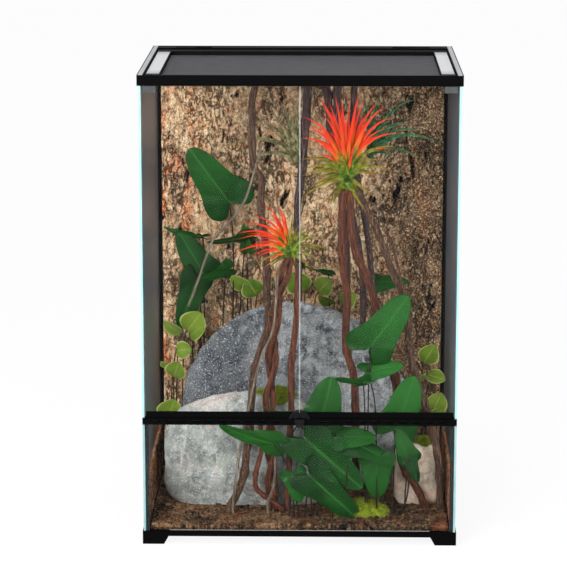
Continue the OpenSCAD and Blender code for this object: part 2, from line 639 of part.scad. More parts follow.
module left_liana(grow = 0) {
    sweep(curve(left_route, 2), liana_r + grow, liana_r * 0.9 + grow);
    for (i = [2, 3, 5, 6, 8, 9, 11, 13]) knot(left_route[i], liana_r + grow);
}
module liana_left() color("#6a4436") left_liana();
module liana_twist() color("#5e3020") union() {
    strands();
    for (i = [1:6]) knot(loop_route[i], 5);
    for (i = [2, 5]) knot(twist_route[i] + [liana_r, 0, 0], liana_r * 0.9);
    difference() {
        sweep(curve(loop_route, 2), 5, 4.4);
        left_liana(0.4);
    }
}
module liana_straight() color("#6d3a20") sweep(curve(straight_route, 2), liana_r * 0.85,
    liana_r * 0.8);
module liana_trunk() color("#64341f") difference() {
    union() {
        sweep(curve(trunk_one, 2), liana_r, liana_r * 0.95);
        sweep(curve(trunk_two, 2), liana_r, liana_r * 0.95);
        for (i = [2, 4, 5, 7, 8, 9, 11]) knot(trunk_one[i], liana_r);
        knot(placed([[90, -60, 594]])[0], liana_r * 1.5);
    }
    stones(0.5);
}
module liana_right() color("#6d4638") difference() {
    union() {
        sweep(curve(right_route, 2), liana_r, liana_r * 0.8);
        sweep(curve(right_twin, 2), twig_r, twig_r);
        for (i = [2:9]) knot(right_route[i], liana_r * 0.9);
    }
    sweep(curve(trunk_one, 2), liana_r + 0.5, liana_r + 0.5);
    sweep(curve(trunk_two, 2), liana_r + 0.5, liana_r + 0.5);
    stones(0.5);
}

hang_routes = [
    [[15, 20, 884], [8, 20, 780], [3, 22, 706], [-8, 30, 600], [-6, 50, 500], [-4, 80, 400]],
    [[46, 22, 884], [58, 22, 780], [70, 22, 700], [84, 24, 600], [92, 45, 480], [92, 80, 370]],
    [[70, 14, 884], [72, 14, 800], [84, 10, 700], [100, 14, 600], [122, 40, 480], [124, 80, 340]],
    [[106, 30, 884], [102, 30, 800], [106, 30, 700], [124, 34, 600], [140, 50, 480],
        [150, 80, 320]]];
module hangers(grow = 0) for (k = [0:3]) {
    r = liana_r * (k == 3 ? 0.85 : 1.1) + grow;
    sweep(curve(placed(hang_routes[k]), 2), r, r * 0.8);
    for (i = [1:2]) knot(place(hang_routes[k][i]), r);
}
module hanging_lianas() color("#4a3236") difference() {
    hangers();
    rear_stone(0.3);
}

twig_routes = [
    [[-76, -56, 756], [-88, -65, 707], [-111, -72, 641], [-150, -66, 590], [-173, -60, 561],
        [-198, -56, 491], [-220, -50, 431]],
    [[-130, -146, 36], [-130, -146, 60], [-115, -146, 180], [-98, -140, 255], [-78, -126, 340],
        [-54, -129, 400], [-46, -129, 466], [-45, -127, 512]],
    [[-62, -146, 36], [-62, -146, 60], [-50, -144, 100], [-48, -140, 190]]];
module thin_twigs() color("#a08a6a") difference() {
    union() {
        for (route = twig_routes) sweep(curve(placed(route), 2), twig_r, twig_r * 0.8, 5);
        for (k = [0:2], i = [1:3]) knot(place(twig_routes[k][i]), twig_r);
    }
    left_liana(0.3);
}

// ---------------------------------------------------------------- plants

// Axes of a leaf that points from a to b: along, across and up, rolled about its midrib
function leaf_axes(a, b, roll) = let (u = unit(b - a), side = unit(cross(u, [0, -1, 0])),
    up = cross(side, u)) [u, cos(roll) * side + sin(roll) * up, cos(roll) * up - sin(roll) * side];

module on_axes(o, m) multmatrix([[m[0].x, m[1].x, m[2].x, o.x], [m[0].y, m[1].y, m[2].y, o.y],
    [m[0].z, m[1].z, m[2].z, o.z], [0, 0, 0, 1]]) children();

// Half outlines, as shares of the distance from the stalk to the tip
arrow_half = [[-0.02, 0], [-0.3, 0.2], [-0.22, 0.42], [0.05, 0.5], [0.6, 0.3], [0.9, 0.1], [1, 0]];
round_half = [[0, 0], [0.12, 0.26], [0.5, 0.43], [0.88, 0.24], [1, 0]];

// A leaf folded along its midrib: the stalk joins at a, the tip lies at b
module leaf(a, b, half, wide = 1, roll = 0, fold = 14) {
    len = norm(b - a);
    n = len(half);
    rim = concat(half, [for (i = [n - 2:-1:1]) [half[i].x, -half[i].y]]);
    m = len(rim);
    on_axes(a, leaf_axes(a, b, roll)) polyhedron(
        [for (z = [0, leaf_t], p = rim) [p.x * len, -p.y * wide * len,
            z - leaf_t / 2 + abs(p.y) * wide * len * tan(fold)]],
        concat([[for (i = [0:n - 1]) i], concat([0], [for (i = [n - 1:m - 1]) i]),
            [for (i = [n - 1:-1:0]) m + i], concat([for (i = [m - 1:-1:n - 1]) m + i], [m])],
            [for (i = [0:m - 1]) let (j = (i + 1) % m) each [[i, m + i, j], [j, m + i, m + j]]]));
}

// Stalks and leaves: each row is [foot, bend, stalk end, tip, roll, width]
module plant(rows, half, stem_r, fold = 14) intersection() {
    room_only() union() for (row = rows) {
        foot = place([row[0].x, row[0].y, room_floor - 3]);
        bend = place(row[1]);
        a = place(row[2]);
        b = place(row[3]);
        rod(foot, bend, stem_r);
        rod(bend, a + (b - a) * 0.12, stem_r * 0.8);
        leaf(a, b, half, row[5], row[4], fold);
    }
}

rear_arrow_rows = [
    [[-150, 172], [-140, 165, 480], [-149, 128, 611], [-228, 118, 713], 6, 1.05],
    [[-205, 170], [-208, 160, 380], [-204, 158, 457], [-251, 150, 540], -10, 1.0],
    [[-222, 168], [-224, 160, 330], [-215, 150, 440], [-250, 146, 337], 8, 0.8],
    [[-205, 170], [-200, 166, 460], [-205, 160, 528], [-284, 152, 541], 62, 0.7],
    [[-150, 172], [-120, 168, 470], [-112, 150, 528], [-192, 140, 512], 58, 1.0],
    [[-170, 172], [-160, 160, 400], [-150, 152, 460], [-206, 142, 436], 40, 1.1],
    [[-110, 172], [-112, 168, 420], [-112, 165, 500], [-124, 160, 552], 35, 0.9],
    [[60, 172], [56, 168, 400], [52, 165, 452], [-8, 152, 470], 64, 0.8],
    [[150, 172], [150, 168, 360], [150, 165, 432], [218, 160, 440], 45, 0.9]];
module arrow_plant_rear() color("#2f7a35") difference() {
    plant(rear_arrow_rows, arrow_half, 1.7);
    stones(0.5);
}

right_arrow_rows = [
    [[132, -150], [132, -148, 240], [136, -138, 373], [209, -142, 469], 0, 1.0],
    [[128, -150], [126, -150, 230], [122, -146, 302], [66, -150, 306], 55, 1.2],
    [[150, -150], [146, -150, 250], [130, -140, 322], [200, -136, 338], 48, 0.9],
    [[180, -148], [184, -150, 160], [187, -150, 214], [224, -150, 312], -6, 1.1],
    [[205, -146], [206, -152, 90], [212, -156, 156], [190, -160, 212], -4, 1.0],
    [[196, -148], [210, -152, 80], [214, -156, 150], [232, -160, 104], 12, 0.8]];
module arrow_plant_right() color("#2c6e33") difference() {
    plant(right_arrow_rows, arrow_half, 1.7);
    stones(0.5);
    sweep(curve(trunk_two, 2), liana_r + 0.6, liana_r + 0.6);
    sweep(curve(trunk_one, 2), liana_r * 1.4, liana_r * 1.4);
    sweep(curve(right_route, 2), liana_r * 1.3, liana_r * 1.3);
    moss_cushions();
}

front_arrow_rows = [
    [[36, -168], [34, -164, 130], [40, -162, 226], [62, -160, 316], 0, 1.25],
    [[24, -168], [20, -168, 120], [16, -170, 192], [124, -172, 92], 4, 0.8],
    [[10, -168], [14, -170, 80], [24, -176, 120], [116, -180, 32], 0, 0.8],
    [[64, -168], [66, -166, 150], [78, -164, 198], [150, -162, 200], 52, 1.1],
    [[90, -160], [92, -166, 130], [104, -164, 186], [180, -170, 152], 38, 0.9],
    [[150, -160], [150, -164, 90], [150, -166, 152], [150, -170, 72], 0, 1.15],
    [[-20, -166], [-18, -170, 90], [-12, -172, 124], [2, -176, 66], 10, 1.1],
    [[-10, -168], [-20, -170, 130], [-52, -168, 186], [-160, -166, 214], 30, 0.7],
    [[0, -168], [-20, -164, 180], [10, -160, 240], [-80, -164, 248], 66, 0.6]];
module arrow_plant_front() color("#2f7d33") difference() {
    plant(front_arrow_rows, arrow_half, 1.7);
    arrow_plant_right();
    moss_cushions();
    left_liana(0.6);
    sweep(curve(trunk_two, 2), liana_r + 0.6, liana_r + 0.6);
}

left_round_rows = [
    [[-262, 165], [-256, 165, 280], [-246, 160, 326], [-284, 156, 352], 40, 1.0],
    [[-250, 166], [-244, 165, 290], [-236, 160, 330], [-206, 152, 372], 0, 1.3],
    [[-250, 166], [-244, 164, 270], [-230, 158, 318], [-196, 150, 345], 40, 1.1],
    [[-262, 160], [-264, 150, 230], [-258, 140, 292], [-224, 132, 300], 20, 1.2],
    [[-270, 160], [-268, 152, 210], [-262, 140, 258], [-288, 120, 276], 48, 1.0],
    [[-270, 150], [-268, 142, 200], [-262, 130, 240], [-250, 110, 278], 10, 1.2],
    [[-276, 140], [-276, 130, 120], [-274, 110, 160], [-258, 90, 204], 0, 1.3]];
module round_plant_left() color("#8f9d2c") difference() {
    plant(left_round_rows, round_half, 1.8, 8);
    stones(0.5);
    arrow_plant_rear();
}

middle_round_rows = [
    [[-100, 176], [-104, 174, 360], [-108, 172, 420], [-146, 166, 446], 30, 1.0],
    [[-100, 176], [-96, 172, 350], [-92, 168, 404], [-112, 160, 440], 0, 1.4],
    [[10, 176], [6, 174, 350], [6, 172, 412], [-20, 166, 452], 10, 1.4],
    [[10, 176], [24, 174, 360], [34, 172, 410], [60, 166, 440], 20, 1.3],
    [[66, 176], [66, 174, 340], [66, 172, 388], [34, 166, 404], 40, 1.1],
    [[66, 176], [74, 174, 330], [84, 172, 384], [110, 166, 410], 20, 1.2]];
module round_plant_middle() color("#8f9d2c") difference() {
    plant(middle_round_rows, round_half, 1.8, 8);
    stones(0.5);
    arrow_plant_rear();
}

right_round_rows = [
    [[268, 40], [266, 40, 250], [246, 36, 296], [268, 30, 336], 0, 1.1],
    [[268, 40], [268, 40, 240], [252, 36, 272], [290, 28, 262], 42, 1.0],
    [[272, 40], [272, 40, 160], [266, 38, 196], [282, 32, 236], 0, 1.2],
    [[272, 40], [274, 40, 130], [274, 36, 168], [284, 30, 206], 16, 1.2],
    [[268, 40], [262, 40, 220], [250, 38, 262], [226, 30, 278], 36, 1.0]];
module round_plant_right() color("#7c8f2e") difference() {
    plant(right_round_rows, round_half, 1.8, 8);
    stones(0.5);
}

// A direction tipped sideways by lean degrees
function tipped(v, lean) = [v.x * cos(lean) + v.z * sin(lean), v.y,
    v.z * cos(lean) - v.x * sin(lean)];

// A step in the room, stretched with it as the lianas are, as a plant that leans sees it
function spread(v, lean) = tipped(place(tipped(v, lean)) - place([0, 0, 0]), -lean);

// A narrow leaf of an air plant: two straight stretches that bend downwards by sag
module blade(o, dir, len, w, sag, lean) {
    side = unit(cross(dir, abs(dir.z) > 0.9 ? [1, 0, 0] : [0, 0, 1]));
    drop = [0, 0, -sag * len];
    stops = [0, 0.5, 1];
    widths = [w, w * 0.7, 0.8];
    at = [for (t = stops) o + spread(dir * len * t + drop * t * t, lean)];
    for (i = [0:1]) hull() for (k = [i, i + 1]) translate(at[k])
        on_axes([0, 0, 0], [side, dir, cross(side, dir)]) translate([-widths[k] / 2, -0.4, -0.5])
            cube([widths[k], 0.8, 1]);
}

module rotate_about(o, lean) translate(o) rotate([0, lean, 0]) translate(-o) children();

// A rosette: blades wind round the core by the golden angle, from flat to upright
module rosette(c, count, len, w, low, high, lean = 0) {
    o = place(c);
    rotate_about(o, lean) {
        translate(o) sphere(w * 1.5, $fn = 8);
        for (i = [0:count - 1]) {
            t = i / (count - 1);
            az = i * 137.508;
            el = blend(low, high, t);
            blade(o, [cos(az) * cos(el), 0.62 * sin(az) * cos(el), sin(el)],
                len * (0.82 + 0.18 * cos(i * 73)), w, blend(0.34, 0.02, t), lean);
        }
    }
}

module air_plant_large() color("#c0452a") difference() {
    room_only() rosette([92, -60, 680], 26, 100, 8, -28, 78);
    sweep(curve(trunk_one, 2), liana_r + 0.3, liana_r + 0.3);
    sweep(curve(trunk_two, 2), liana_r + 0.3, liana_r + 0.3);
    sweep(curve(right_route, 2), liana_r + 0.3, liana_r + 0.3);
    hangers(0.4);
}
module air_plant_small() color("#c84a2c") difference() {
    room_only() rosette([-18, -105, 546], 20, 72, 6, -20, 76, -24);
    strands(0.3);
    left_liana(0.5);
    sweep(curve(straight_route, 2), liana_r + 0.3, liana_r + 0.3);
}
module air_plant_olive() color("#6f6e46") difference() {
    room_only() rosette([-14, 8, 716], 11, 98, 9, 0, 70, -44);
    hangers(0.4);
    left_liana(0.5);
}
module air_plant_green() color("#3f7a46") difference() {
    room_only() rosette([136, 22, 734], 11, 112, 9, -5, 72, 26);
    hangers(0.4);
    air_plant_large();
}

base_frame();
foot_front_left();
foot_front_right();
foot_rear_left();
foot_rear_right();
bottom_pane();
back_pane();
left_pane();
right_pane();
front_pane();
corner_beads();
vent_strip();
vent_screen();
top_frame();
gate_left();
gate_right();
left_door_pane();
left_door_rail();
left_door_cap();
left_handle();
right_door_pane();
right_door_rail();
right_door_cap();
right_handle();
lock_knob();
lock_spindle();
lock_washer();
lid_frame();
lid_screen();
lid_plate_left();
lid_plate_right();
latch_left();
latch_right();
bark_background();
bark_floor();
bark_strip_left();
bark_strip_right();
rear_boulder();
front_boulder();
sandstone_slab();
moss_cushions();
liana_left();
liana_twist();
liana_straight();
liana_trunk();
liana_right();
hanging_lianas();
thin_twigs();
arrow_plant_rear();
arrow_plant_right();
arrow_plant_front();
round_plant_left();
round_plant_middle();
round_plant_right();
air_plant_large();
air_plant_small();
air_plant_olive();
air_plant_green();
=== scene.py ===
# %% [markdown]
# # Dressing a front-opening glass terrarium
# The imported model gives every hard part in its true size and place. This lesson keeps those parts,
# gives them their finishes, and replaces the soft and natural ones (bark, stones, moss, lianas and
# leaves) by finer surfaces. Loading the model first fixes the frame that all else is measured in.

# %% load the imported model
import bpy
import numpy as np
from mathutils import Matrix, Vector


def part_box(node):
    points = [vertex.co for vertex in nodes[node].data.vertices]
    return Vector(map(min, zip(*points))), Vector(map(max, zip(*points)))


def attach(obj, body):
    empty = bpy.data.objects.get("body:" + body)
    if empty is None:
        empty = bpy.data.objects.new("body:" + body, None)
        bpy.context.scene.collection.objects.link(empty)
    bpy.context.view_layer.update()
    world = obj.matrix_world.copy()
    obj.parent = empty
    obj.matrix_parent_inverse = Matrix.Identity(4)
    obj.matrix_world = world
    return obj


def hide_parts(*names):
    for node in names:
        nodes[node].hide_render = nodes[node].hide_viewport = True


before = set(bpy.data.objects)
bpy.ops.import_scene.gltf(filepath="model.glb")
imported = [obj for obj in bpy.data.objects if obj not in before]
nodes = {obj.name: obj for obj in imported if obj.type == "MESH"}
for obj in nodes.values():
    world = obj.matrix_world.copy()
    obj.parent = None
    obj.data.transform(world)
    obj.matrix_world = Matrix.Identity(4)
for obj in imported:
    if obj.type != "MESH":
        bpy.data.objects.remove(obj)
scene = bpy.context.scene
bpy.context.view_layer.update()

# %% [markdown]
# ## The camera
# The photograph was taken with a long lens from a little above the lid and slightly right of the
# middle. A long lens keeps the upright edges upright. The numbers come from fitting the corners of
# the two frames, and the lens is given for a 36 mm wide sensor.

# %% camera
SENSOR, LENS = 36, 155.43
EYE, DOWN, ASIDE = (0.0520, -4.7277, 1.5057), 0.2163, 0.0183
lens_data = bpy.data.cameras.new("camera")
lens_data.sensor_width, lens_data.lens, lens_data.clip_end = SENSOR, LENS, 100
camera = bpy.data.objects.new("camera", lens_data)
camera.location = EYE
camera.rotation_euler = (np.pi / 2 - DOWN, 0, ASIDE)
scene.collection.objects.link(camera)
scene.camera = camera
print("camera at", tuple(round(c, 3) for c in camera.location))

# %% [markdown]
# ## Helpers for materials
# A node tree is easier to read when each node takes one line. `put` adds a node and fills its
# sockets: a value that is itself a socket gets linked, any other is typed in. Colours are written as
# they look on a screen, from 0 to 255, and turned into the linear values that a renderer mixes.
# `laid` paints one colour over another where some value says so, which is how most looks below are
# built up.

# %% node helpers
BSDF = "Principled BSDF"


def paint(red, green, blue):
    """A screen colour from 0 to 255 as linear light: the usual screen curve undone."""
    c = np.array([red, green, blue]) / 255
    return (*np.where(c <= 0.04045, c / 12.92, ((c + 0.055) / 1.055) ** 2.4), 1.0)


def darker(colour, share):
    """A colour that keeps a share of its light."""
    return (*(share * c for c in colour[:3]), 1.0)


def put(tree, kind, sockets=None, **settings):
    """Adds one node. Sockets are named or numbered; a socket as a value is linked."""
    made = tree.nodes.new("ShaderNode" + kind)
    for key, value in settings.items():
        setattr(made, key, value)
    for key, value in (sockets or {}).items():
        if isinstance(value, bpy.types.NodeSocket):
            tree.links.new(value, made.inputs[key])
        else:
            made.inputs[key].default_value = value
    return made


def sums(tree, operation, first, second=0.5, third=0.5):
    """One Math node, and its result."""
    return put(tree, "Math", {0: first, 1: second, 2: third}, operation=operation).outputs[0]


def times(tree, first, *others):
    """The product of several numbers."""
    for other in others:
        first = sums(tree, "MULTIPLY", first, other)
    return first


def mixed(tree, share, first, second):
    """Two colours mixed by a share from 0 to 1."""
    return put(tree, "Mix", {0: share, 6: first, 7: second}, data_type="RGBA").outputs[2]


def ramp(tree, value, low, high, to_low=0.0, to_high=1.0):
    """A value carried from one range to another with soft ends, and kept inside it."""
    return put(tree, "MapRange", {"Value": value, "From Min": low, "From Max": high,
        "To Min": to_low, "To Max": to_high}, interpolation_type="SMOOTHSTEP").outputs["Result"]


def laid(tree, body, *rows):
    """Colours laid over a body one after another. A row is a colour, the value that tells where it
    lies, the two values at which it is absent and fullest, and the share that it then covers."""
    for colour, value, absent, fullest, share in rows:
        body = mixed(tree, ramp(tree, value, absent, fullest, 0.0, share), body, colour)
    return body


def field(tree, name):
    """A number that a mesh carries at each of its points."""
    return put(tree, "Attribute", attribute_name=name).outputs["Fac"]


def own_place(tree):
    """The object's own coordinates."""
    return put(tree, "TexCoord").outputs["Object"]


def own_axes(tree, what="Object"):
    """The object's own coordinates, or its own Normal, as three numbers X, Y and Z."""
    return put(tree, "SeparateXYZ", {0: put(tree, "TexCoord").outputs[what]}).outputs


def drawn(tree, tall):
    """The object's own coordinates with the upright one multiplied by tall."""
    scale = put(tree, "CombineXYZ", {0: 1.0, 1: 1.0, 2: tall}).outputs[0]
    return put(tree, "VectorMath", {0: own_place(tree), 1: scale}, operation="MULTIPLY").outputs[0]


def cloudy(tree, place, scale, detail=2.0, rough=0.5, bent=0.0):
    """Noise at a place."""
    return put(tree, "TexNoise", {"Vector": place, "Scale": scale, "Detail": detail,
        "Roughness": rough, "Distortion": bent}).outputs["Fac"]


def noise(tree, scale, detail=4.0, rough=0.55, stretch=(1, 1, 1)):
    """Noise on the object's own coordinates, drawn out by stretching them first."""
    bent = put(tree, "Mapping", {"Vector": own_place(tree), "Scale": stretch}).outputs[0]
    return cloudy(tree, bent, scale, detail, rough)


def effect(name, inputs, outputs):
    """An empty node group. Inputs are titles with a first value, and a tuple makes a colour. Gives
    the tree, the sockets that bring the inputs, and the sockets that take the results."""
    tree = bpy.data.node_groups.new(name, "ShaderNodeTree")
    kinds = {True: "NodeSocketColor", False: "NodeSocketFloat"}
    for title, value in inputs.items():
        tree.interface.new_socket(title, in_out="INPUT",
            socket_type=kinds[isinstance(value, tuple)]).default_value = value
    for title in outputs:
        tree.interface.new_socket(title, in_out="OUTPUT", socket_type=kinds[title == "Color"])
    return tree, tree.nodes.new("NodeGroupInput").outputs, tree.nodes.new("NodeGroupOutput").inputs


def use(tree, group, **values):
    """Places a node group in a material with its own values."""
    made = put(tree, "Group", node_tree=group)
    for title, value in values.items():
        if isinstance(value, bpy.types.NodeSocket):
            tree.links.new(value, made.inputs[title])
        else:
            made.inputs[title].default_value = value
    return made.outputs


def material(name):
    """A material with one Principled shader, and its tree."""
    made = bpy.data.materials.new(name)
    made.use_nodes = True
    return made, made.node_tree


def coat(made, colour, rough=None, relief=None, **constants):
    """Wires a finish to the material's shader: colour, roughness, and relief as height, distance
    and strength of a bump. Constants go straight on their sockets. Gives the material back."""
    tree = made.node_tree
    shader = tree.nodes[BSDF]
    tree.links.new(colour, shader.inputs["Base Color"])
    if rough:
        tree.links.new(rough, shader.inputs["Roughness"])
    if relief:
        height, distance, strength = relief
        lifted = put(tree, "Bump", {"Height": height, "Distance": distance, "Strength": strength})
        tree.links.new(lifted.outputs["Normal"], shader.inputs["Normal"])
    for title, value in constants.items():
        shader.inputs[title.replace("_", " ")].default_value = value
    return made


# %% [markdown]
# ## Light and background
# Glass needs a plain bright world to look through to, but a world that bright would wash out the
# inside. The Light Path node tells the kinds of ray apart: the camera and the glass see it in full,
# while the ambient light stays at a little over half of that. Two large soft lamps in front light
# the inside, and a wide soft light from above draws the rims of the lid and falls through its screen.

# %% world
WORLD_GREY, AMBIENT, MIRRORED = (0.8, 0.8, 0.8, 1), 0.55, 0.15
world = bpy.data.worlds.new("studio")
scene.world = world
world.use_nodes = True
sky = world.node_tree
sky.nodes.clear()
ray = put(sky, "LightPath").outputs
seen = sums(sky, "MAXIMUM", ray["Is Camera Ray"], ray["Is Transmission Ray"])
glossy = sums(sky, "MULTIPLY_ADD", ray["Is Glossy Ray"], MIRRORED, AMBIENT)
shine = put(sky, "Background", {"Color": WORLD_GREY, "Strength": sums(sky, "MAXIMUM", seen, glossy)})
put(sky, "OutputWorld", {"Surface": shine.outputs[0]})
scene.view_settings.view_transform = "Standard"

# %% lamps
def lamp(name, place, aim, size, watts):
    """A square soft lamp at a place, turned so that its face looks at the aim."""
    data = bpy.data.lights.new(name, "AREA")
    data.shape, data.size, data.energy = "SQUARE", size, watts
    made = bpy.data.objects.new(name, data)
    made.location = place
    made.rotation_euler = (Vector(aim) - made.location).to_track_quat("-Z", "Y").to_euler()
    scene.collection.objects.link(made)


tank_middle = (0, 0, 0.45)
lamp("key lamp", (-1.7, -3.2, 1.9), tank_middle, 1.6, 128)
lamp("fill lamp", (2.0, -3.4, 1.1), tank_middle, 2.0, 78)
above = bpy.data.lights.new("light from above", "SUN")
above.energy, above.angle = 1.5, np.radians(40)
sun = bpy.data.objects.new("light from above", above)
sun.rotation_euler = np.radians((14, -8, 0))
scene.collection.objects.link(sun)

# %% [markdown]
# ## Effects that several finishes share
# Five surface effects come back on many parts: the fine grain of moulded plastic, the cloudy
# mottling of stone and leaf, the fibres of wood, the cracks of bark and stone, and the veins of a
# leaf. Each is a node group with named inputs, built once, and it gives out only colours and
# numbers. `have` holds a group's inputs and `give` its results.

# %% grain of moulded plastic
grain, have, give = effect("moulded grain", {"Size": 900.0, "Smooth": 0.4, "Rough": 0.5},
    ["Height", "Roughness"])
spread = sums(grain, "SUBTRACT", have["Rough"], have["Smooth"])
cloud = cloudy(grain, own_place(grain), 9.0)
grain.links.new(cloudy(grain, own_place(grain), have["Size"], 3.0), give["Height"])
grain.links.new(sums(grain, "MULTIPLY_ADD", cloud, spread, have["Smooth"]), give["Roughness"])

# %% mottling of stone and leaf
mottle, have, give = effect("mottle", {"Size": 20.0, "Low": 0.4, "High": 0.6, "Dark": (0, 0, 0, 1),
    "Light": (1, 1, 1, 1)}, ["Color", "Mask"])
blotch = cloudy(mottle, own_place(mottle), have["Size"], 8.0, 0.62)
mask = ramp(mottle, blotch, have["Low"], have["High"])
mottle.links.new(mask, give["Mask"])
mottle.links.new(mixed(mottle, mask, have["Dark"], have["Light"]), give["Color"])

# %% fibres of wood, which run up and down
fibres, have, give = effect("fibres", {"Size": 300.0, "Long": 0.08}, ["Mask"])
strands = cloudy(fibres, drawn(fibres, have["Long"]), have["Size"], 5.0, 0.6, 0.3)
fibres.links.new(ramp(fibres, strands, 0.35, 0.68), give["Mask"])

# %% cracks: the lines where a slow noise passes its middle value, so they wander and fork
cracks, have, give = effect("cracks", {"Size": 22.0, "Tall": 0.4, "Width": 0.02},
    ["Plate", "Level"])
tall_place = drawn(cracks, have["Tall"])
level = cloudy(cracks, tall_place, have["Size"], 7.0, 0.62, 0.4)
width = times(cracks, have["Width"],
    ramp(cracks, cloudy(cracks, tall_place, 14.0), 0.4, 0.65, 0.15, 1.6))
away = sums(cracks, "ABSOLUTE", sums(cracks, "SUBTRACT", level, 0.5))
cracks.links.new(ramp(cracks, away, times(cracks, width, 0.3), width), give["Plate"])
cracks.links.new(level, give["Level"])

# %% veins of a leaf, from how far along and across it a point lies
veins, have, give = effect("veins", {"Count": 9.0, "Slope": 0.75, "Rib": 0.016}, ["Rib", "Side"])
off_rib = sums(veins, "ABSOLUTE", field(veins, "across"))
lean = times(veins, off_rib, have["Slope"])
order = times(veins, sums(veins, "SUBTRACT", field(veins, "along"), lean), have["Count"])
saw = sums(veins, "ABSOLUTE", sums(veins, "SUBTRACT", sums(veins, "FRACT", order), 0.5))
veins.links.new(ramp(veins, saw, 0.07, 0.0), give["Side"])
veins.links.new(ramp(veins, off_rib, times(veins, have["Rib"], 2.0), have["Rib"]),
    give["Rib"])
print("effects:", [g.name for g in bpy.data.node_groups])

# %% [markdown]
# ## The floor
# A product photograph on white hides its floor. A plain plane under the feet keeps a soft shadow,
# because about a tenth of its look is real paint and the rest is white light that only the camera,
# mirrors and glass see.

# %% floor
GLOW = 0.89
stage, tree = material("studio floor")
tree.nodes.clear()
glow = put(tree, "Emission", {"Color": (1, 1, 1, 1), "Strength": 1.0}).outputs[0]
matt = put(tree, "BsdfDiffuse", {"Color": paint(236, 236, 236)}).outputs[0]
ray = put(tree, "LightPath").outputs
seen = sums(tree, "MAXIMUM", ray["Is Camera Ray"],
    sums(tree, "MAXIMUM", ray["Is Glossy Ray"], ray["Is Transmission Ray"]))
both = put(tree, "MixShader", {0: times(tree, seen, GLOW), 1: matt, 2: glow})
put(tree, "OutputMaterial", {"Surface": both.outputs[0]})
floor_mesh = bpy.data.meshes.new("floor")
floor_mesh.from_pydata([(-30, -8, 0), (30, -8, 0), (30, 60, 0), (-30, 60, 0)], [], [(0, 1, 2, 3)])
floor = bpy.data.objects.new("floor", floor_mesh)
scene.collection.objects.link(floor)
floor_mesh.materials.append(stage)

# %% [markdown]
# ## Black moulded frames
# The two frames, the vent strip, the door rails and the lid are satin black plastic. Real black
# plastic isn't zero: it sits a little above black and shows a fine grain where light grazes it.
# A low specular level keeps the broad faces dark, as they are in the photograph.

# %% black plastic
GRAIN_DEPTH = 0.00004
black = paint(6, 6, 7)


def plastic(name, colour, smooth, rough, level, size=900.0, depth=GRAIN_DEPTH):
    """Satin moulded plastic: one colour with a faint cloud in it, grain for bump and gloss."""
    made, tree = material(name)
    fine = use(tree, grain, Size=size, Smooth=smooth, Rough=rough)
    body = use(tree, mottle, Size=30.0, Low=0.35, High=0.7, Dark=darker(colour, 0.8), Light=colour)
    return coat(made, body["Color"], fine["Roughness"], (fine["Height"], depth, 0.5),
        Specular_IOR_Level=level)


def dress(made, names):
    """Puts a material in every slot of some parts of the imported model."""
    for name in names.split():
        part = nodes[name]
        if not part.material_slots:
            part.data.materials.append(made)
        for place in part.material_slots:
            place.material = made


dress(plastic("black moulded plastic", black, 0.45, 0.62, 0.02), "base_frame foot_front_left "
    "foot_front_right foot_rear_left foot_rear_right vent_strip left_door_rail right_door_rail "
    "gate_left gate_right")
dress(plastic("knob plastic", paint(11, 11, 12), 0.3, 0.45, 0.14),
    "lock_knob left_handle right_handle latch_left latch_right")
dress(plastic("lid plastic", paint(10, 10, 11), 0.42, 0.58, 0.05), "lid_frame")
dress(plastic("black silicone", paint(12, 12, 13), 0.3, 0.5, 0.3, 220.0, 0.0002), "corner_beads")
dress(plastic("grey hinge cap", paint(74, 75, 76), 0.4, 0.55, 0.1), "left_door_cap right_door_cap")

# %% [markdown]
# The side rims of the top frame carry a painted highlight: where they face up they are painted
# pale, standing in for the light that they reflect, and their rounded borders stay dark. The mask
# comes from the face's direction and from its place across the frame. The frame never moves, so
# the mask holds in every view.

# %% top frame with a painted highlight on its side rims
TOP, RIM_INNER, RIM_OUTER, SOFT_EDGE = 0.910, 0.2925, 0.3015, 0.0006


def rim_highlight_plastic(name, base, pale):
    """Black plastic with a painted highlight: pale upward faces between two distances from the middle.
    """
    made, tree = material(name)
    place = own_axes(tree)
    up = put(tree, "SeparateXYZ", {0: put(tree, "NewGeometry").outputs["Normal"]}).outputs["Z"]
    side = sums(tree, "ABSOLUTE", place["X"])
    band = times(tree, ramp(tree, side, RIM_INNER, RIM_INNER + SOFT_EDGE),
        ramp(tree, side, RIM_OUTER, RIM_OUTER - SOFT_EDGE))
    level = times(tree, ramp(tree, place["Z"], TOP - 0.0015, TOP - 0.0005),
        ramp(tree, up, 0.6, 0.9))
    # pale is the painted highlight colour, laid on the upward faces of the side rims only
    light = use(tree, mottle, Size=14.0, Low=0.3, High=0.7, Dark=darker(pale, 0.86), Light=pale)
    fine = use(tree, grain, Size=900.0, Smooth=0.4, Rough=0.55)
    return coat(made, mixed(tree, times(tree, band, level), base, light["Color"]),
        fine["Roughness"], (fine["Height"], GRAIN_DEPTH, 0.5), Specular_IOR_Level=0.02)


# the pale strips on the side rims are a painted highlight on black plastic
dress(rim_highlight_plastic("top frame plastic with painted rim highlight", black, paint(182, 183, 186)), "top_frame")

# %% [markdown]
# The lid's side plates are pale satin strips, a little greyer towards their ends, where the corner
# pieces of the lid frame begin. The steel spindle, the washer and the vent's screen are plain metal.

# %% plates, steel and vent screen
PLATE_MIDDLE, PLAIN_HALF, PLATE_HALF = -0.0135, 0.10, 0.167


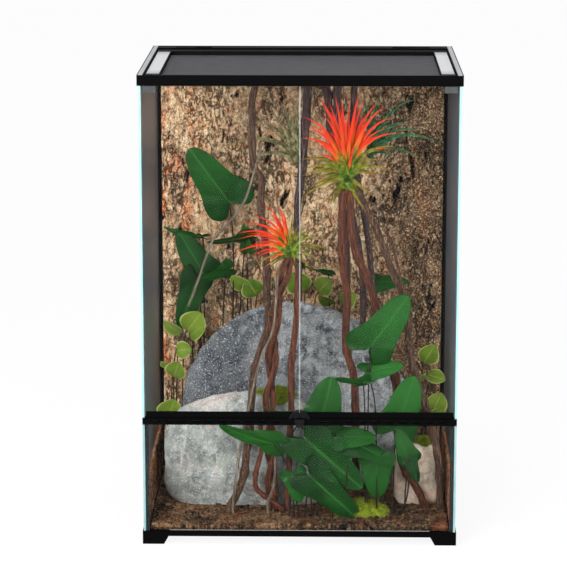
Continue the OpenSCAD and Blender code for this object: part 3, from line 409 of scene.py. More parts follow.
def plate_finish():
    """Pale satin metal that darkens towards the two ends of the strip."""
    made, tree = material("pale side plate")
    ends = sums(tree, "ABSOLUTE", sums(tree, "SUBTRACT", own_axes(tree)["Y"], PLATE_MIDDLE))
    brushed = noise(tree, 60.0, 4.0, 0.6, (1, 0.04, 1))
    light = mixed(tree, brushed, paint(200, 201, 204), paint(218, 219, 221))
    return coat(made, mixed(tree, ramp(tree, ends, PLAIN_HALF, PLATE_HALF), light,
        paint(172, 173, 177)), ramp(tree, brushed, 0.2, 0.8, 0.35, 0.5), (brushed, 0.00003, 0.4))


def metal(name, colour, rough):
    """Bare metal with fine turning marks."""
    made, tree = material(name)
    marks = noise(tree, 240.0, 3.0, 0.5, (1, 6, 1))
    return coat(made, mixed(tree, marks, colour, darker(colour, 0.7)),
        ramp(tree, marks, 0.0, 1.0, rough, rough + 0.15), (marks, 0.00002, 0.3), Metallic=1.0)


dress(plate_finish(), "lid_plate_left lid_plate_right")
dress(metal("turned steel", paint(176, 178, 182), 0.28), "lock_spindle lock_washer")
dress(metal("bright screen wire", paint(188, 194, 196), 0.5), "vent_screen")

# %% [markdown]
# ## Glass
# Float glass is clear from the front and sea-green at its cut edges, because light that reaches an
# edge has run the length of the pane inside it. A true solid of tinted glass would need many
# bounces for that, so the edge faces carry the colour themselves. They are found in the pane's own
# space, so a door keeps its edges as it swings. Shadow rays pass straight through, or the inside
# would go dark, and a low index of refraction keeps the white room's reflection faint.

# %% glass
PANE_INDEX, STRIP_LEVEL = 1.12, (0.235, 0.245)


def glass(name, edge_axes, edge_high, edge_low, grazing_reflection=None):
    """Clear glass. Faces that look along edge_axes are cut edges, with one colour above the vent
    strip and one below. A painted reflection, a plain colour, shows where the pane is seen
    nearly along itself."""
    made, tree = material(name)
    coat(made, mixed(tree, noise(tree, 5.0, 3.0, 0.5), (0.985, 0.995, 0.993, 1),
        (0.97, 0.985, 0.982, 1)), Transmission_Weight=1.0, Roughness=0.0, IOR=PANE_INDEX,
        Specular_IOR_Level=0.5)
    ray = put(tree, "LightPath").outputs
    through = sums(tree, "MAXIMUM", ray["Is Shadow Ray"], ray["Is Diffuse Ray"])
    clear = put(tree, "BsdfTransparent", {"Color": (0.985, 0.99, 0.99, 1)}).outputs[0]
    pane = put(tree, "MixShader", {0: through, 1: tree.nodes[BSDF].outputs[0], 2: clear}).outputs[0]
    # a plain grey where the pane is seen nearly edge-on: a painted reflection
    if grazing_reflection:
        angle = put(tree, "LayerWeight", {"Blend": 0.5}).outputs["Facing"]
        veil = put(tree, "BsdfPrincipled", {"Base Color": grazing_reflection, "Roughness": 0.35,
            "Specular IOR Level": 0.2}).outputs[0]
        share = times(tree, ramp(tree, angle, 0.70, 0.80),
            sums(tree, "SUBTRACT", 1.0, through))
        pane = put(tree, "MixShader", {0: share, 1: pane, 2: veil}).outputs[0]
    edge, facing = 0.0, own_axes(tree, "Normal")
    for axis in edge_axes:
        edge = sums(tree, "MAXIMUM", edge, sums(tree, "ABSOLUTE", facing[axis]))
    band = mixed(tree, ramp(tree, own_axes(tree)["Z"], *STRIP_LEVEL), edge_low, edge_high)
    band = mixed(tree, noise(tree, 18.0, 3.0), band, mixed(tree, 0.35, band, (1, 1, 1, 1)))
    rim = put(tree, "BsdfPrincipled", {"Base Color": band, "Roughness": 0.3}).outputs[0]
    whole = put(tree, "MixShader", {0: ramp(tree, edge, 0.6, 0.8), 1: pane, 2: rim}).outputs[0]
    tree.links.new(whole, tree.nodes["Material Output"].inputs["Surface"])
    return made


sea_green, teal = paint(104, 172, 174), paint(62, 134, 138)
dress(glass("door glass", "XZ", paint(158, 192, 194), teal), "left_door_pane right_door_pane")
dress(glass("front glass", "XZ", sea_green, teal), "front_pane")
# the grey of the side panes is a painted reflection where they are seen nearly edge-on
dress(glass("side glass", "YZ", sea_green, teal, paint(75, 83, 94)), "left_pane right_pane")
dress(glass("back glass", "XZ", sea_green, teal), "back_pane")
dress(glass("bottom glass", "XY", sea_green, teal), "bottom_pane")
print("dressed:", sum(1 for o in nodes.values() if o.material_slots[0].material.users > 0))

# %% [markdown]
# ## Helpers for surfaces
# Every natural piece is a surface computed as whole arrays. A grid of points is enough for most:
# wrapped round it is a stem, closed by two poles it is a stone or a leaf, with a rim and a rear it
# is a slab of bark. The helpers below turn such grids into meshes and hand them to their body.

# %% meshes from arrays
def unit(v):
    """Vectors scaled to length one along the last axis."""
    return v / np.maximum(np.linalg.norm(v, axis=-1, keepdims=True), 1e-12)


def circle(count):
    """Angles at equal steps round a full turn."""
    return 2 * np.pi * np.arange(count) / count


def grid_quads(rows, columns, wrap=False):
    """Faces between neighbouring rows and columns; wrap joins the last column to the first."""
    i, j = np.meshgrid(np.arange(rows - 1), np.arange(columns if wrap else columns - 1),
        indexing="ij")
    k = (j + 1) % columns
    return np.stack([i * columns + j, i * columns + k, (i + 1) * columns + k,
        (i + 1) * columns + j], -1).reshape(-1, 4)


def closed_grid(rings, first, last):
    """Rings of points (n, m, 3) closed by two poles: points, four-sided and three-sided faces."""
    n, m = rings.shape[:2]
    points = np.vstack([rings.reshape(-1, 3), first[None], last[None]])
    j = np.arange(m)
    k = (j + 1) % m
    start = np.stack([np.full(m, n * m), k, j], -1)
    end = np.stack([np.full(m, n * m + 1), (n - 1) * m + j, (n - 1) * m + k], -1)
    return points, grid_quads(n, m, True), np.vstack([start, end])


def with_poles(grid, value=0.5):
    """The numbers of a grid of rings, and one value for its two poles."""
    return np.append(grid.ravel(), [value, value])


def joined(parts):
    """Several (points, quads, triangles, values) as one, with the faces renumbered."""
    sizes = np.cumsum([0] + [len(p[0]) for p in parts[:-1]])
    values = {key: np.concatenate([p[3][key] for p in parts]) for key in parts[0][3]}
    return (np.vstack([p[0] for p in parts]), np.vstack([p[1] + s for p, s in zip(parts, sizes)]),
        np.vstack([p[2] + s for p, s in zip(parts, sizes)]), values)


def piece(name, shape, finish, body="tank", instead=(), smooth=True, flat_rear=False):
    """A mesh object from (points, quads, triangles, values) that rides on a body. With flat_rear the
    triangles stay flat, as the rear of a slab does."""
    points, quads, triangles, values = shape
    mesh = bpy.data.meshes.new(name)
    mesh.vertices.add(len(points))
    mesh.vertices.foreach_set("co", np.asarray(points, np.float32).ravel())
    corners = np.concatenate([quads.ravel(), triangles.ravel()]).astype(np.int32)
    sizes = np.concatenate([np.full(len(quads), 4), np.full(len(triangles), 3)])
    starts = np.concatenate([[0], np.cumsum(sizes)[:-1]]).astype(np.int32)
    mesh.loops.add(len(corners))
    mesh.loops.foreach_set("vertex_index", corners)
    mesh.polygons.add(len(sizes))
    mesh.polygons.foreach_set("loop_start", starts)
    mesh.polygons.foreach_set("use_smooth", np.where(sizes == 4, smooth, smooth and not flat_rear))
    for key, numbers in values.items():
        layer = mesh.attributes.new(key, "FLOAT", "POINT")
        layer.data.foreach_set("value", np.asarray(numbers, np.float32))
    mesh.update(calc_edges=True)
    mesh.validate()
    mesh.materials.append(finish)
    made = bpy.data.objects.new(name, mesh)
    scene.collection.objects.link(made)
    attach(made, body)
    if instead:
        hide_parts(*instead)
    print(f"{name}: {len(points)} points, {2 * len(quads) + len(triangles)} triangles")


# %% wandering numbers
CELLS, DIRECTIONS = 64, 7


def waves(points, size, seed, layers):
    """Smooth lumps from about -1 to 1: sine waves in random directions are summed, and each layer
    has half the size and half the height of the one before. The divisors bring the sum near one."""
    rng = np.random.default_rng(seed)
    total, height = 0.0, 1.0
    for _ in range(layers):
        ways = unit(rng.normal(size=(DIRECTIONS, 3))) * rng.uniform(0.7, 1.3, (DIRECTIONS, 1))
        phase = rng.uniform(0, 6.28, DIRECTIONS)
        total = total + height * np.sin(points @ (ways * 2 * np.pi / size).T + phase).sum(-1) / 3.2
        size, height = size / 2, height / 2
    return total / 1.6


def flakes(u, v, seed):
    """A plane split into cells round one random point per unit square. Gives, for each place, how
    far it is from the border of its cell, and a random number of that cell. The points repeat after
    CELLS squares."""
    rng = np.random.default_rng(seed)
    jitter, tones = rng.uniform(0.1, 0.9, (CELLS, CELLS, 2)), rng.uniform(0, 1, (CELLS, CELLS))
    i, j = np.floor(u).astype(int), np.floor(v).astype(int)
    near, second, tone = np.full(u.shape, 9.0), np.full(u.shape, 9.0), np.zeros(u.shape)
    for a, b in [(a, b) for a in (-1, 0, 1) for b in (-1, 0, 1)]:
        p = jitter[(i + a) % CELLS, (j + b) % CELLS]
        away = np.hypot(i + a + p[..., 0] - u, j + b + p[..., 1] - v)
        closer = away < near
        second = np.where(closer, near, np.minimum(second, away))
        tone = np.where(closer, tones[(i + a) % CELLS, (j + b) % CELLS], tone)
        near = np.where(closer, away, near)
    return second - near, tone


def soft_step(x, low, high):
    """0 below low, 1 above high, and a smooth rise between them."""
    t = np.clip((x - low) / (high - low), 0, 1)
    return t * t * (3 - 2 * t)


# %% [markdown]
# ## Bark
# Cork bark is a map of long plates with dark cracks between them, and flakes on the plates. Two
# such maps, a coarse and a fine one, are added up: the distance to a cell's border makes the crack
# and a random number per cell makes the step. The height is also kept at each point, so that the
# material can paint shade into the depths: the low places take the crack colour as painted shade.
# Cracks, pits and crumbs that are too fine for the grid are left to the material.

# %% the slab
REAR_VALUE = 0.45


def slab(corner, across, upward, outward, columns, rows, height):
    """A closed slab: a grid of heights on its broad face, walls down to the rear, a fan behind.
    Height is a function of the place in metres along the two edges, from 0 to 1 and a tone."""
    s, t = np.meshgrid(np.linspace(0, 1, columns), np.linspace(0, 1, rows))
    flat = corner + s[..., None] * across + t[..., None] * upward
    thick, deep, tone = height(s * np.linalg.norm(across), t * np.linalg.norm(upward), flat)
    face = flat + thick[..., None] * outward
    k = np.arange(rows * columns).reshape(rows, columns)
    rim = np.concatenate([k[0, :-1], k[:-1, -1], k[-1, :0:-1], k[:0:-1, 0]])
    n, m = face.size // 3, len(rim)
    points = np.vstack([face.reshape(-1, 3), flat.reshape(-1, 3)[rim], flat.mean((0, 1))[None]])
    a = np.arange(m)
    b = (a + 1) % m
    walls = np.stack([rim, n + a, n + b, rim[b]], -1)
    behind = np.stack([np.full(m, n + m), n + b, n + a], -1)
    more = np.full(m + 1, REAR_VALUE)
    return points, np.vstack([grid_quads(rows, columns), walls]), behind, {
        "deep": np.concatenate([deep.ravel(), more]), "tone": np.concatenate([tone.ravel(), more])}


def bark_height(base, relief, seed, wide, tall):
    """Heights of bark: plates that are wide by tall, flakes a third as large, and fine fibres."""
    def height(s, t, flat):
        bend = 0.35 * waves(flat, 0.11, seed, 3)
        gap, tone = flakes(s / wide + bend + seed, t / tall + 0.6 * bend, seed)
        small_gap, small_tone = flakes(s / (wide * 0.36) + 0.8 * bend, t / (tall * 0.3) + bend,
            seed + 1)
        plate = soft_step(gap, 0.0, 0.28) * (0.62 + 0.38 * tone)
        flake = soft_step(small_gap, 0.0, 0.3) * small_tone
        fibre = waves(flat * [1, 1, 0.16], 0.012, seed + 2, 3)
        # deep is low in the cracks and gaps; the bark finish paints shade there
        deep = np.clip(0.50 * plate + 0.18 * flake + 0.14 * fibre + 0.20, 0, 1)
        return base + relief * deep, deep, 0.6 * tone + 0.4 * small_tone
    return height


# %% bark finish
def bark_finish(name, crack, brown, tan, pale, red, right_colour=None):
    """Pale crumbs over tan plates. Cracks of two sizes, dark pits and rusty patches go on top, and
    the low places of the relief take the crack colour as painted shade. A colour for the right makes
    the bark darker towards the far right, and then most of the rust is at the far left."""
    made, tree = material(name)
    deep, tone = field(tree, "deep"), field(tree, "tone")
    splits = use(tree, cracks, Size=34.0, Tall=0.42, Width=0.022)
    chinks = use(tree, cracks, Size=80.0, Tall=0.6, Width=0.05)
    speck = noise(tree, 230.0, 6.0, 0.82)
    crumb = noise(tree, 85.0, 8.0, 0.72, (1, 1, 0.7))
    own = sums(tree, "MULTIPLY_ADD", noise(tree, 8.0, 3.0, 0.5, (1, 1, 0.35)), 1.6,
        times(tree, tone, 0.25))
    body = laid(tree, brown, (tan, own, 0.6, 1.15, 1.0), (pale, crumb, 0.40, 0.62, 0.85))
    patch = ramp(tree, noise(tree, 20.0, 5.0, 0.62, (1, 1, 0.3)), 0.53, 0.60, 0.0, 0.8)
    # towards the far right the bark turns to a darker brown
    if right_colour:
        side = own_axes(tree)["X"]
        body = laid(tree, body, (right_colour, side, 0.08, 0.24, 0.85))
        patch = times(tree, patch,
            sums(tree, "MULTIPLY_ADD", ramp(tree, side, -0.15, -0.26), 0.88, 0.12))
    body = laid(tree, mixed(tree, patch, body, red), (pale, speck, 0.53, 0.62, 0.9),
        (crack, speck, 0.46, 0.38, 0.97))
    # the crack colour fills cracks and pits, and the low places of the relief as painted shade
    depth = times(tree, ramp(tree, splits["Level"], 0.35, 0.41),
        ramp(tree, splits["Plate"], 0.0, 1.0, 0.45, 1.0),
        ramp(tree, chinks["Plate"], 0.0, 1.0, 0.2, 1.0), ramp(tree, deep, 0.03, 0.24, 0.1, 1.0))
    height = sums(tree, "MULTIPLY_ADD", speck, 0.5, sums(tree, "MULTIPLY_ADD", crumb, 1.2, depth))
    return coat(made, mixed(tree, depth, crack, body), None, (height, 0.0045, 1.0), Roughness=0.85,
        Specular_IOR_Level=0.12)


wall_bark = bark_finish("cork bark", paint(8, 4, 3), paint(142, 94, 62), paint(208, 156, 110),
    paint(250, 222, 182), paint(214, 104, 46), paint(88, 60, 38))
dark_bark = bark_finish("dark cork bark", paint(8, 5, 4), paint(84, 52, 32), paint(140, 94, 60),
    paint(190, 144, 104), paint(176, 84, 36))
BARK_LOW, UP, BACK = 0.036, np.array([0, 0, 1.0]), np.array([0, -1.0, 0])
piece("bark_wall", slab(np.array([-0.2874, 0.2242, BARK_LOW]), np.array([0.5748, 0, 0]), 0.848 * UP,
    BACK, 240, 396, bark_height(0.0095, 0.0095, 11, 0.036, 0.120)), wall_bark,
    instead=["bark_background"], flat_rear=True)
for side, name, start in ((-1, "left", -0.2015), (1, "right", 0.1835)):
    piece(f"bark_strip_{name}_detail", slab(np.array([side * 0.2956, start, BARK_LOW]),
        0.385 * side * BACK, 0.092 * UP, np.array([-side * 1.0, 0, 0]), 120, 34,
        bark_height(0.003, 0.005, 50 + side, 0.02, 0.03)), dark_bark,
        instead=[f"bark_strip_{name}"], flat_rear=True)

# %% [markdown]
# ## Litter
# The floor is a bed of crumbled bark. A lumpy slab alone would look like mud, so several hundred
# chips lie on it: one small lump with two dozen faces, copied with random sizes and turns by
# multiplying whole arrays. Chips that would fall inside a stone are dropped.

# %% stones' places and half sizes, in metres
FOOT_POWER, FOOT_SHARE = 2.4, 0.9
REAR_STONE = dict(centre=(-0.012, 0.0835, 0.150), half=(0.243, 0.060, 0.268), seed=7, power=2.1)
FRONT_STONE = dict(centre=(-0.103, -0.0465, 0.116), half=(0.178, 0.050, 0.146), seed=31, power=2.4)
SLAB_STONE = dict(centre=(0.231, -0.0505, 0.092), half=(0.050, 0.034, 0.066), seed=77, power=4.0)


def outside(x, y, stone):
    """True for places on the floor that lie outside a stone's rounded outline."""
    (cx, cy, _), (hx, hy, _) = stone["centre"], stone["half"]
    return (abs(x - cx) / hx) ** FOOT_POWER + (abs(y - cy) / hy) ** FOOT_POWER > FOOT_SHARE


# %% litter
def lump(rows, columns):
    """A ball of rings for one chip, on a grid of turns and tilts."""
    tilt = np.pi * (np.arange(rows) + 0.5) / rows - np.pi / 2
    turn = circle(columns)
    rings = np.stack([np.cos(tilt)[:, None] * np.cos(turn), np.cos(tilt)[:, None] * np.sin(turn),
        np.repeat(np.sin(tilt)[:, None], columns, 1)], -1)
    return closed_grid(rings, -UP, UP)


def lumpy_ball(rows, columns, depth, size, seed, layers):
    """The ball with lumps of a depth, as a share of its radius."""
    points, quads, triangles = lump(rows, columns)
    return points * (1 + depth * waves(points, size, seed, layers))[:, None], quads, triangles


def turned(rng, count, tilt):
    """Random turning matrices (count, 3, 3): a free turn about the upright, then a small tilt."""
    a, b, c = rng.uniform(0, 2 * np.pi, count), rng.normal(0, tilt, count), rng.normal(0, tilt, count)
    one, none = np.ones(count), np.zeros(count)
    flat = np.stack([np.cos(a), -np.sin(a), none, np.sin(a), np.cos(a), none, none, none, one], -1)
    lean = np.stack([one, none, none, none, np.cos(b), -np.sin(b), none, np.sin(b), np.cos(b)], -1)
    roll = np.stack([np.cos(c), none, np.sin(c), none, one, none, -np.sin(c), none, np.cos(c)], -1)
    flat, lean, roll = (m.reshape(-1, 3, 3) for m in (flat, lean, roll))
    return flat @ lean @ roll


def scattered(template, places, sizes, turns, tones):
    """Copies of one small shape: each is scaled, turned and moved, all in one multiplication."""
    points, quads, triangles = template
    made = np.einsum("nij,nkj->nki", turns, points[None] * sizes[:, None]) + places[:, None]
    step = (np.arange(len(places)) * len(points))[:, None, None]
    # deep rises from a copy's underside to its top; the bark finish paints shade under the litter's
    # chips
    return (made.reshape(-1, 3), (quads[None] + step).reshape(-1, 4),
        (triangles[None] + step).reshape(-1, 3), {"tone": np.repeat(tones, len(points)),
            "deep": np.tile(0.5 + 0.5 * points[:, 2], len(places))})


def litter_height(s, t, flat):
    """A bed of crumbs: lumps of two sizes."""
    lumps = 0.5 + 0.25 * waves(flat, 0.05, 5, 2) + 0.2 * waves(flat, 0.012, 6, 3)
    # the lumps are also the depth, so the bark finish paints shade in the bed's hollows
    return 0.0105 + 0.004 * lumps, np.clip(lumps, 0, 1), np.clip(lumps, 0, 1)


CHIPS = 1500
rng = np.random.default_rng(21)
spots = np.stack([rng.uniform(-0.280, 0.280, CHIPS), rng.uniform(-0.200, 0.200, CHIPS),
    rng.uniform(0.0355, 0.0385, CHIPS)], -1)
free = np.ones(len(spots), bool)
for stone in (REAR_STONE, FRONT_STONE, SLAB_STONE):
    free &= outside(spots[:, 0], spots[:, 1], stone)
spots = spots[free]
sizes = np.stack([rng.uniform(0.004, 0.011, len(spots)), rng.uniform(0.003, 0.006, len(spots)),
    rng.uniform(0.0012, 0.003, len(spots))], -1)
chip = lumpy_ball(4, 7, 0.22, 1.1, 8, 2)
litter_bed = slab(np.array([-0.287, -0.2075, 0.024]), np.array([0.574, 0, 0]),
    -0.423 * BACK, UP, 150, 110, litter_height)
piece("litter", joined([litter_bed, scattered(chip, spots, sizes,
    turned(rng, len(spots), 0.35), rng.uniform(0, 1, len(spots)))]),
    bark_finish("crumbled bark", paint(8, 5, 4), paint(44, 29, 20), paint(96, 64, 43),
        paint(160, 124, 90), paint(112, 58, 32)), instead=["bark_floor"])

# %% [markdown]
# ## Stones
# Two granite boulders and a slab of sandstone. A ball whose section is a rounded square, cut flat
# on the floor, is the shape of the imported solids. The same formula on a much finer grid keeps their
# size, and wandering lumps of three sizes take the machine look away.

# %% stone shape
STONE_FOOT, LOWEST, HIGHEST = 0.034, -62, 86


def wander(u, v):
    """The slow lumps that the solids have too: three sine waves that bend each other, in degrees."""
    u, v, one = np.radians(u), np.radians(v), np.radians(1)
    return (np.sin(1.9 * u + 40 * one * np.sin(0.7 * v))
        + np.sin(1.3 * v + 50 * one * np.sin(1.1 * u + 20 * one)) + np.sin(3.7 * u - 2.9 * v)) / 3


def stone(centre, half, seed, power, rows=150, columns=260, rough=1.0):
    """Point at turn u and tilt v: the ball's direction, scaled so that the sum of its powers is
    one, less slow lumps, plus three sizes of small ones. Nothing goes below the litter."""
    c, h = np.array(centre), np.array(half)
    v = np.radians(np.linspace(LOWEST, HIGHEST, rows))[:, None]
    u = circle(columns)[None, :]
    way = np.stack([np.cos(v) * np.cos(u), np.cos(v) * np.sin(u), np.sin(v) + 0 * u], -1)
    scale = (np.abs(way) ** power).sum(-1) ** (-1 / power)
    slow = wander(120 * np.cos(u) + seed, 120 * np.sin(u) + np.degrees(v) * 1.7 + seed)
    r = scale * (1 - 0.03 * (1 - slow))
    base = way * r[..., None] * h
    small = 0.0030 * waves(base, 0.09, seed, 3) + 0.0011 * waves(base, 0.018, seed + 1, 3)
    facets = np.abs(waves(base, 0.13, seed + 2, 2))
    points = c + base + way * (rough * (small - 0.004 * facets))[..., None]
    points[..., 2] = np.maximum(points[..., 2], STONE_FOOT)
    made = closed_grid(points, np.append(points[0, :, :2].mean(0), STONE_FOOT),
        np.append(c[:2], points[-1, :, 2].mean() + 0.0004))
    return *made, {"deep": with_poles(0.5 + 0.5 * waves(base, 0.05, seed + 3, 4)),
        "tone": with_poles(0.5 + slow / 2)}


# %% stone finish
def stone_finish(name, dark, grey, light, fleck, blush, green, shade=None):
    """Granite: clouds of three greys, hairline cracks, white flecks and dark pits, faint pink and
    green stains, and fine streaks. Shade is two places across and a share: the stone is darkened by
    the share at the first and not at all at the second."""
    made, tree = material(name)
    body = use(tree, mottle, Size=26.0, Low=0.34, High=0.56, Dark=dark, Light=grey)["Color"]
    pale = use(tree, mottle, Size=48.0, Low=0.47, High=0.66)["Mask"]
    body = laid(tree, mixed(tree, times(tree, pale, 0.85), body, light),
        (blush, noise(tree, 10.0, 4.0, 0.6), 0.54, 0.64, 0.6),
        (green, noise(tree, 12.0, 4.0, 0.6, (1, 1, 1.7)), 0.55, 0.66, 0.6),
        (light, noise(tree, 95.0, 5.0, 0.65, (1, 1, 0.2)), 0.57, 0.66, 0.6))
    if shade:
        dim, bright, share = shade
        body = laid(tree, body, (dark, own_axes(tree)["X"], bright, dim, share))
    grains = noise(tree, 330.0, 5.0, 0.78)
    body = laid(tree, body, (fleck, grains, 0.55, 0.66, 0.9), (dark, grains, 0.46, 0.35, 0.85))
    joint = use(tree, cracks, Size=9.0, Tall=1.3, Width=0.010)["Plate"]
    height = sums(tree, "MULTIPLY_ADD", pale, 0.6, sums(tree, "MULTIPLY_ADD", joint, 0.5, grains))
    return coat(made, mixed(tree, ramp(tree, joint, 0.0, 1.0, 0.4, 1.0), dark, body),
        ramp(tree, grains, 0.3, 0.7, 0.75, 0.92), (height, 0.0022, 0.9), Specular_IOR_Level=0.25)


granite_blue = stone_finish("blue granite", paint(46, 50, 57), paint(146, 148, 150),
    paint(188, 189, 190), paint(224, 225, 225), paint(150, 140, 140), paint(118, 124, 122),
    (-0.16, 0.06, 0.74))
granite_grey = stone_finish("grey granite", paint(104, 107, 104), paint(150, 152, 148),
    paint(182, 184, 180), paint(226, 227, 224), paint(186, 166, 158), paint(146, 154, 134))
sandstone = stone_finish("sandstone", paint(186, 158, 132), paint(232, 210, 186),
    paint(246, 232, 214), paint(252, 244, 232), paint(232, 186, 164), paint(222, 206, 176))
piece("boulder_rear_detail", stone(**REAR_STONE), granite_blue, instead=["rear_boulder"])
piece("boulder_front_detail", stone(**FRONT_STONE), granite_grey, instead=["front_boulder"])
piece("slab_detail", stone(**SLAB_STONE, rows=90, columns=150, rough=0.6), sandstone,
    instead=["sandstone_slab"])

# %% [markdown]
# ## Moss
# Three bright cushions. Each is a heap of soft lumps, wound outwards by the golden angle as in a
# sunflower, and tufts of short leaves stand on it. A tuft is six thin spikes with four faces each.

# %% moss
GOLDEN_ANGLE, SPIKES = np.radians(137.5), 6


def tuft():
    """Six spikes that lean out of one foot: a three-cornered base and a tip each."""
    turn = circle(SPIKES)
    tip = np.stack([0.75 * np.cos(turn), 0.75 * np.sin(turn), 0.75 + 0.25 * np.cos(3 * turn)], -1)
    corner = circle(3)
    base = 0.16 * np.stack([np.cos(corner), np.sin(corner), 0 * corner], -1)
    points = np.concatenate([base[None] + 0.12 * tip[:, None], tip[:, None]], 1).reshape(-1, 3)
    one = np.array([[0, 1, 3], [1, 2, 3], [2, 0, 3], [0, 2, 1]])
    faces = (one[None] + 4 * np.arange(SPIKES)[:, None, None]).reshape(-1, 3)
    return points, np.zeros((0, 4), int), faces


def cushion(centre, width, depth, height, lumps, seed, tufts=900):
    """Lumps at golden-angle places, lower towards the rim, and tufts on their upper halves."""
    rng = np.random.default_rng(seed)
    i = np.arange(lumps)
    out = np.sqrt(i / lumps)
    place = np.array(centre) + np.stack([width * out * np.cos(GOLDEN_ANGLE * i),
        depth * out * np.sin(GOLDEN_ANGLE * i), 0 * out], -1)
    size = height * np.stack([0.86 + 0 * out, 0.86 + 0 * out, 1.0 - 0.38 * out], -1)
    ball = lumpy_ball(14, 26, 0.09, 0.5, seed, 3)
    heap = scattered(ball, place, size, np.repeat(np.eye(3)[None], lumps, 0), np.full(lumps, 0.3))
    pick = rng.integers(0, lumps, tufts)
    way = unit(np.stack([rng.normal(0, 0.8, tufts), rng.normal(0, 0.8, tufts),
        np.abs(rng.normal(0.6, 0.5, tufts)) + 0.05], -1))
    spot = place[pick] + way * size[pick] * 0.96
    side = unit(np.cross(way, [0.3, 1, 0.2]))
    turns = np.stack([side, np.cross(way, side), way], -1)
    scale = rng.uniform(0.0032, 0.0062, tufts)[:, None] * [0.8, 0.8, 1.2]
    return joined([heap, scattered(tuft(), spot, scale, turns, rng.uniform(0.2, 1, tufts))])


def moss_finish():
    """Yellow-green tips over a dark green ground."""
    made, tree = material("moss")
    fine = noise(tree, 700.0, 4.0, 0.7)
    ground = mixed(tree, ramp(tree, fine, 0.35, 0.65), paint(34, 46, 6), paint(110, 124, 18))
    tips = mixed(tree, fine, paint(120, 146, 16), paint(196, 204, 52))
    return coat(made, mixed(tree, field(tree, "tone"), ground, tips), None, (fine, 0.002, 0.9),
        Roughness=0.8, Specular_IOR_Level=0.2)


piece("moss_detail", joined([cushion((0.118, -0.1385, 0.040), 0.042, 0.012, 0.026, 6, 3),
    cushion((-0.045, -0.0465, 0.246), 0.034, 0.012, 0.022, 5, 4),
    cushion((0.244, -0.0465, 0.150), 0.018, 0.010, 0.017, 3, 5, 240)]), moss_finish(),
    instead=["moss_cushions"])

# %% [markdown]
# ## Lianas
# A liana is a twisted, ribbed stem with knuckles. Its route is a smooth curve through the same
# points as the solid's. The section isn't round: ribs run round it as it climbs, and lumps come and
# go. All points follow from place along the route and angle round it.

# %% stems
LOCK_PROUD = 7


def room(points):
    """Places in millimetres from the tank's middle as metres in the frame of the model, whose
    middle lies half the lock's overhang further forward."""
    return (np.asarray(points, float) + [0, LOCK_PROUD / 2, 0]) / 1000


def curve(points, steps):
    """A smooth curve through points: on each stretch a cubic whose slopes at its ends are half the
    step from the point before to the point after."""
    p = np.asarray(points, float)
    a = np.vstack([p[:1], p, p[-1:]])
    t = np.linspace(0, 1, steps, endpoint=False)[None, :, None]
    p0, p1, p2, p3 = (a[k:len(a) - 3 + k, None] for k in range(4))
    inner = 0.5 * (2 * p1 + (p2 - p0) * t + (2 * p0 - 5 * p1 + 4 * p2 - p3) * t ** 2
        + (3 * p1 - p0 - 3 * p2 + p3) * t ** 3)
    return np.vstack([inner.reshape(-1, 3), p[-1:]])


def stem(path, thick, thin, sides=18, ribs=5, rib=0.10, lumpy=0.10, seed=1, knuckles=(), pace=60):
    """Rings across the path. The radius goes from thick to thin, with ribs that wind round pace
    times per metre, lumps, and a swelling at each knuckle, given as a share of the length."""
    way = unit(np.gradient(path, axis=0))
    u = unit(np.cross([0, 1.0, 0], way))
    v = np.cross(way, u)
    long = np.concatenate([[0], np.cumsum(np.linalg.norm(np.diff(path, axis=0), axis=1))])
    s = (long / long[-1])[:, None]
    a = circle(sides)[None, :]
    rng = np.random.default_rng(seed)
    ridge = np.abs(np.sin(0.5 * ribs * a + 0.5 * pace * long[:, None] + 0.6 * np.sin(9 * s)))
    grow = 1 + rib * (ridge - 0.5)
    for _ in range(5):
        grow = grow + lumpy / 2.4 * np.sin(rng.integers(1, 4) * a + long[:, None] * rng.uniform(40, 260)
            + rng.uniform(0, 6.3))
    for k in knuckles:
        grow = grow + 0.32 * np.exp(-((s - k) * long[-1] / (1.1 * thick)) ** 2)
    r = (thick + (thin - thick) * s) * grow
    rings = path[:, None] + r[..., None] * (np.cos(a)[..., None] * u[:, None]
        + np.sin(a)[..., None] * v[:, None])
    return *closed_grid(rings, path[0], path[-1]), {"deep": with_poles(ridge),
        "tone": with_poles(0.5 + 0.5 * np.sin(31 * s + 2 * a))}


def wound_pair(path, radius, pitch, **kinds):
    """Two stems wound about one path, half a turn apart, once round per pitch of height."""
    level = np.clip(np.arange(len(path)), 1, len(path) - 2)
    parts = []
    for half in (0, np.pi):
        turn = half + 2 * np.pi * path[level, 2] / pitch
        ring = np.stack([np.cos(turn), np.sin(turn), 0 * turn], -1)
        parts.append(stem(path + (radius + 0.0005) * ring, radius, 0.9 * radius, **kinds))
    return joined(parts)


# %% wood finish
def wood_finish(name, dark, brown, pale):
    """Stringy bark: dark between the ribs, pale torn fibres along them, dark patches."""
    made, tree = material(name)
    deep, tone = field(tree, "deep"), field(tree, "tone")
    fine = use(tree, fibres, Size=520.0, Long=0.09)["Mask"]
    body = laid(tree, dark, (brown, deep, 0.1, 0.8, 1.0), (pale, fine, 0.5, 0.9, 0.45))
    patch = ramp(tree, noise(tree, 34.0, 5.0, 0.6, (1, 1, 0.5)), 0.5, 0.68)
    body = mixed(tree, times(tree, patch, tone, 0.6), body, dark)
    return coat(made, body, ramp(tree, fine, 0.0, 1.0, 0.55, 0.8), (fine, 0.0018, 0.9),
        Specular_IOR_Level=0.3)


red_brown = wood_finish("red-brown liana", paint(16, 6, 3), paint(82, 34, 14), paint(150, 94, 58))
grey_brown = wood_finish("grey-brown liana", paint(16, 8, 5), paint(68, 38, 22), paint(158, 128, 98))
plum_brown = wood_finish("plum-brown liana", paint(18, 10, 12), paint(60, 36, 36), paint(150, 128, 118))
twig_wood = wood_finish("grey twig", paint(58, 48, 38), paint(112, 98, 82), paint(168, 156, 138))

